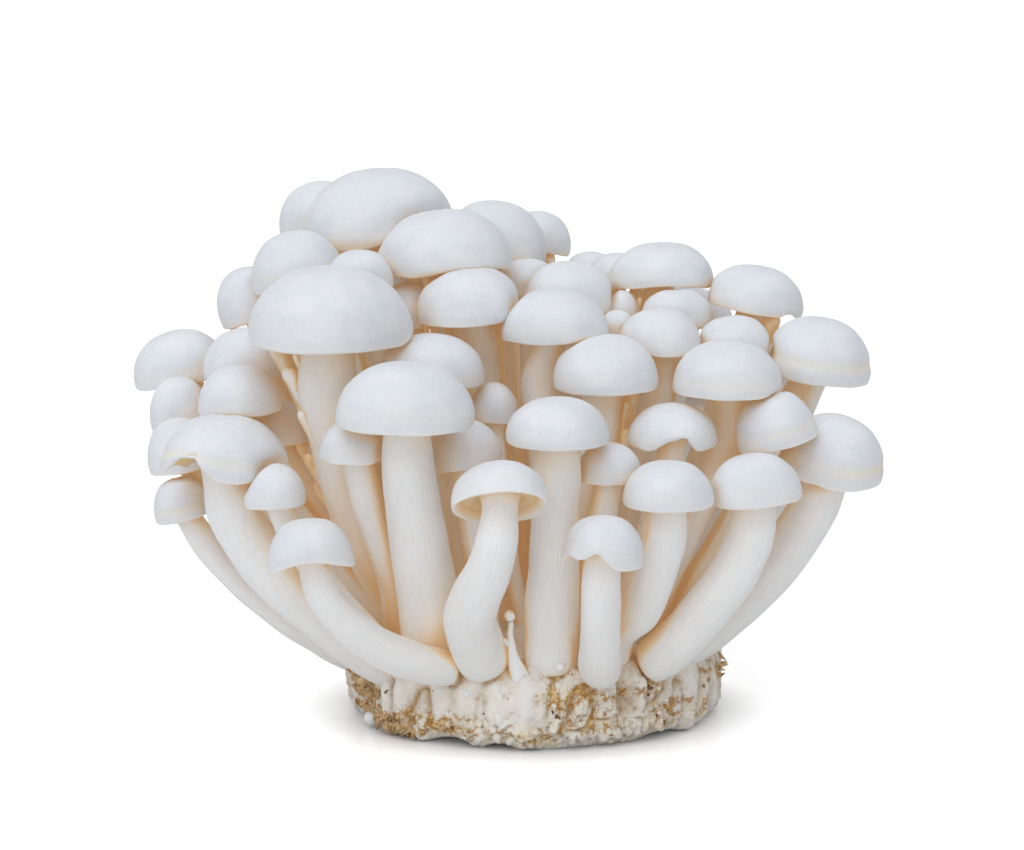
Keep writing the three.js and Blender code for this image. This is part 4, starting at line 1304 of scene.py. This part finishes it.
sawdust_mesh.materials.append(wood_material(
    "sawdust", (700.0, 3000.0), ((0.36, 0.19, 0.07), (0.76, 0.56, 0.31)), (0.15, 0.7), (0.5, 0.0002)))
specks_mesh.materials.append(wood_material(
    "dark_flakes", (1400.0, 4000.0), ((0.07, 0.028, 0.01), (0.30, 0.15, 0.05)), (0.2, 0.6), (0.4, 0.0001)))
print("materials:", [material.name for material in bpy.data.materials])

# %% [markdown]
# ## Floor and light
# The cluster stands on a plain white table under soft studio light. The floor is wide
# enough to fill the picture from any side, and smooth enough to mirror the base
# faintly. A floor that has to look pure white would need so much lamp light that the
# caps would burn out, so it glows a little by itself, and the glow is shaded where the
# base stands close. The light comes from white all round, from a wide soft ceiling a
# little to the front, and from one large weak lamp near the camera.

# %% Floor
FLOOR_RADIUS, FLOOR_CORNERS = 6, 48
floor_mesh = bpy.data.meshes.new("table_top")
turns = [2 * math.pi * k / FLOOR_CORNERS for k in range(FLOOR_CORNERS)]
corners = [(FLOOR_RADIUS * math.cos(a), FLOOR_RADIUS * math.sin(a), 0) for a in turns]
floor_mesh.from_pydata(corners, [], [tuple(range(FLOOR_CORNERS))])
floor = bpy.data.objects.new("table_top", floor_mesh)
scene.collection.objects.link(floor)
floor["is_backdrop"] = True
table, net, shader, place = new_material("white_table")
wear = net.effect(mottle, Vector=place, Patch_Scale=9.0, Pore_Scale=60.0)
net.put(net.blend(wear["Mask"], (0.55, 0.555, 0.565), (0.57, 0.575, 0.585)), shader["Base Color"])
near = net.add("AmbientOcclusion", Distance=0.009)
near.samples = 8
open_sky = net.math("POWER", near.outputs["AO"], 1.2)
seen = net.add("LightPath").outputs["Is Camera Ray"]
glow_share = net.times(net.plus(net.times(seen, 0.60), 0.40), open_sky)
net.put(net.blend(glow_share, (0.0, 0.0, 0.0), (1.0, 1.0, 1.0)), shader["Emission Color"])
net.put(net.plus(net.times(wear["Mask"], 0.04), 0.17), shader["Roughness"])
finish(shader, {"Emission Strength": 0.62, "Specular IOR Level": 0.4})
floor_mesh.materials.append(table)
print("floor radius", FLOOR_RADIUS, "m")

# %% Light
def add_lamp(name, kind, power, colour, towards, **shape):
    """A lamp that shines one way; what is special to its kind goes in by name."""
    data = bpy.data.lights.new(name, kind)
    for key, value in shape.items():
        setattr(data, key, value)
    data.energy = power
    data.color = colour
    lamp = bpy.data.objects.new(name, data)
    lamp.rotation_euler = towards.to_track_quat("-Z", "Y").to_euler()
    scene.collection.objects.link(lamp)
    return lamp


world = bpy.data.worlds.new("white_studio")
world.use_nodes = True
finish(world.node_tree.nodes["Background"].inputs, {"Color": (0.97, 0.985, 1.0, 1.0), "Strength": 0.58})
scene.world = world
overhead = add_lamp("overhead", "SUN", 1.4, (0.94, 0.97, 1.0), Vector((0.25, 0.40, -1.0)), angle=1.25)
fill_place = Vector((-0.3, -1.1, 0.3))
front_fill = add_lamp("front_fill", "AREA", 1.5, (0.97, 0.985, 1.0), Vector((0, 0, 0.05)) - fill_place,
                      shape="DISK", size=0.8)
front_fill.location = fill_place
scene.view_settings.view_transform = "Standard"
scene.view_settings.look = "None"
scene.cycles.diffuse_bounces = 8
print("lamps:", overhead.name, "and", front_fill.name)

# %% [markdown]
# ## Sizes and the end
# The finer pieces must fill the same box as the solids. The box of what is shown is
# measured again, and how far each of its sides differs from the solids' box is printed
# in mm.

# %% Compare the boxes and finish
seen_low, seen_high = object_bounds()
growth = [(s - c) / MM for s, c in zip((*seen_low, *seen_high), (*cad_low, *cad_high))]
print("grown by, in mm:", [round(g, 2) for g in growth])
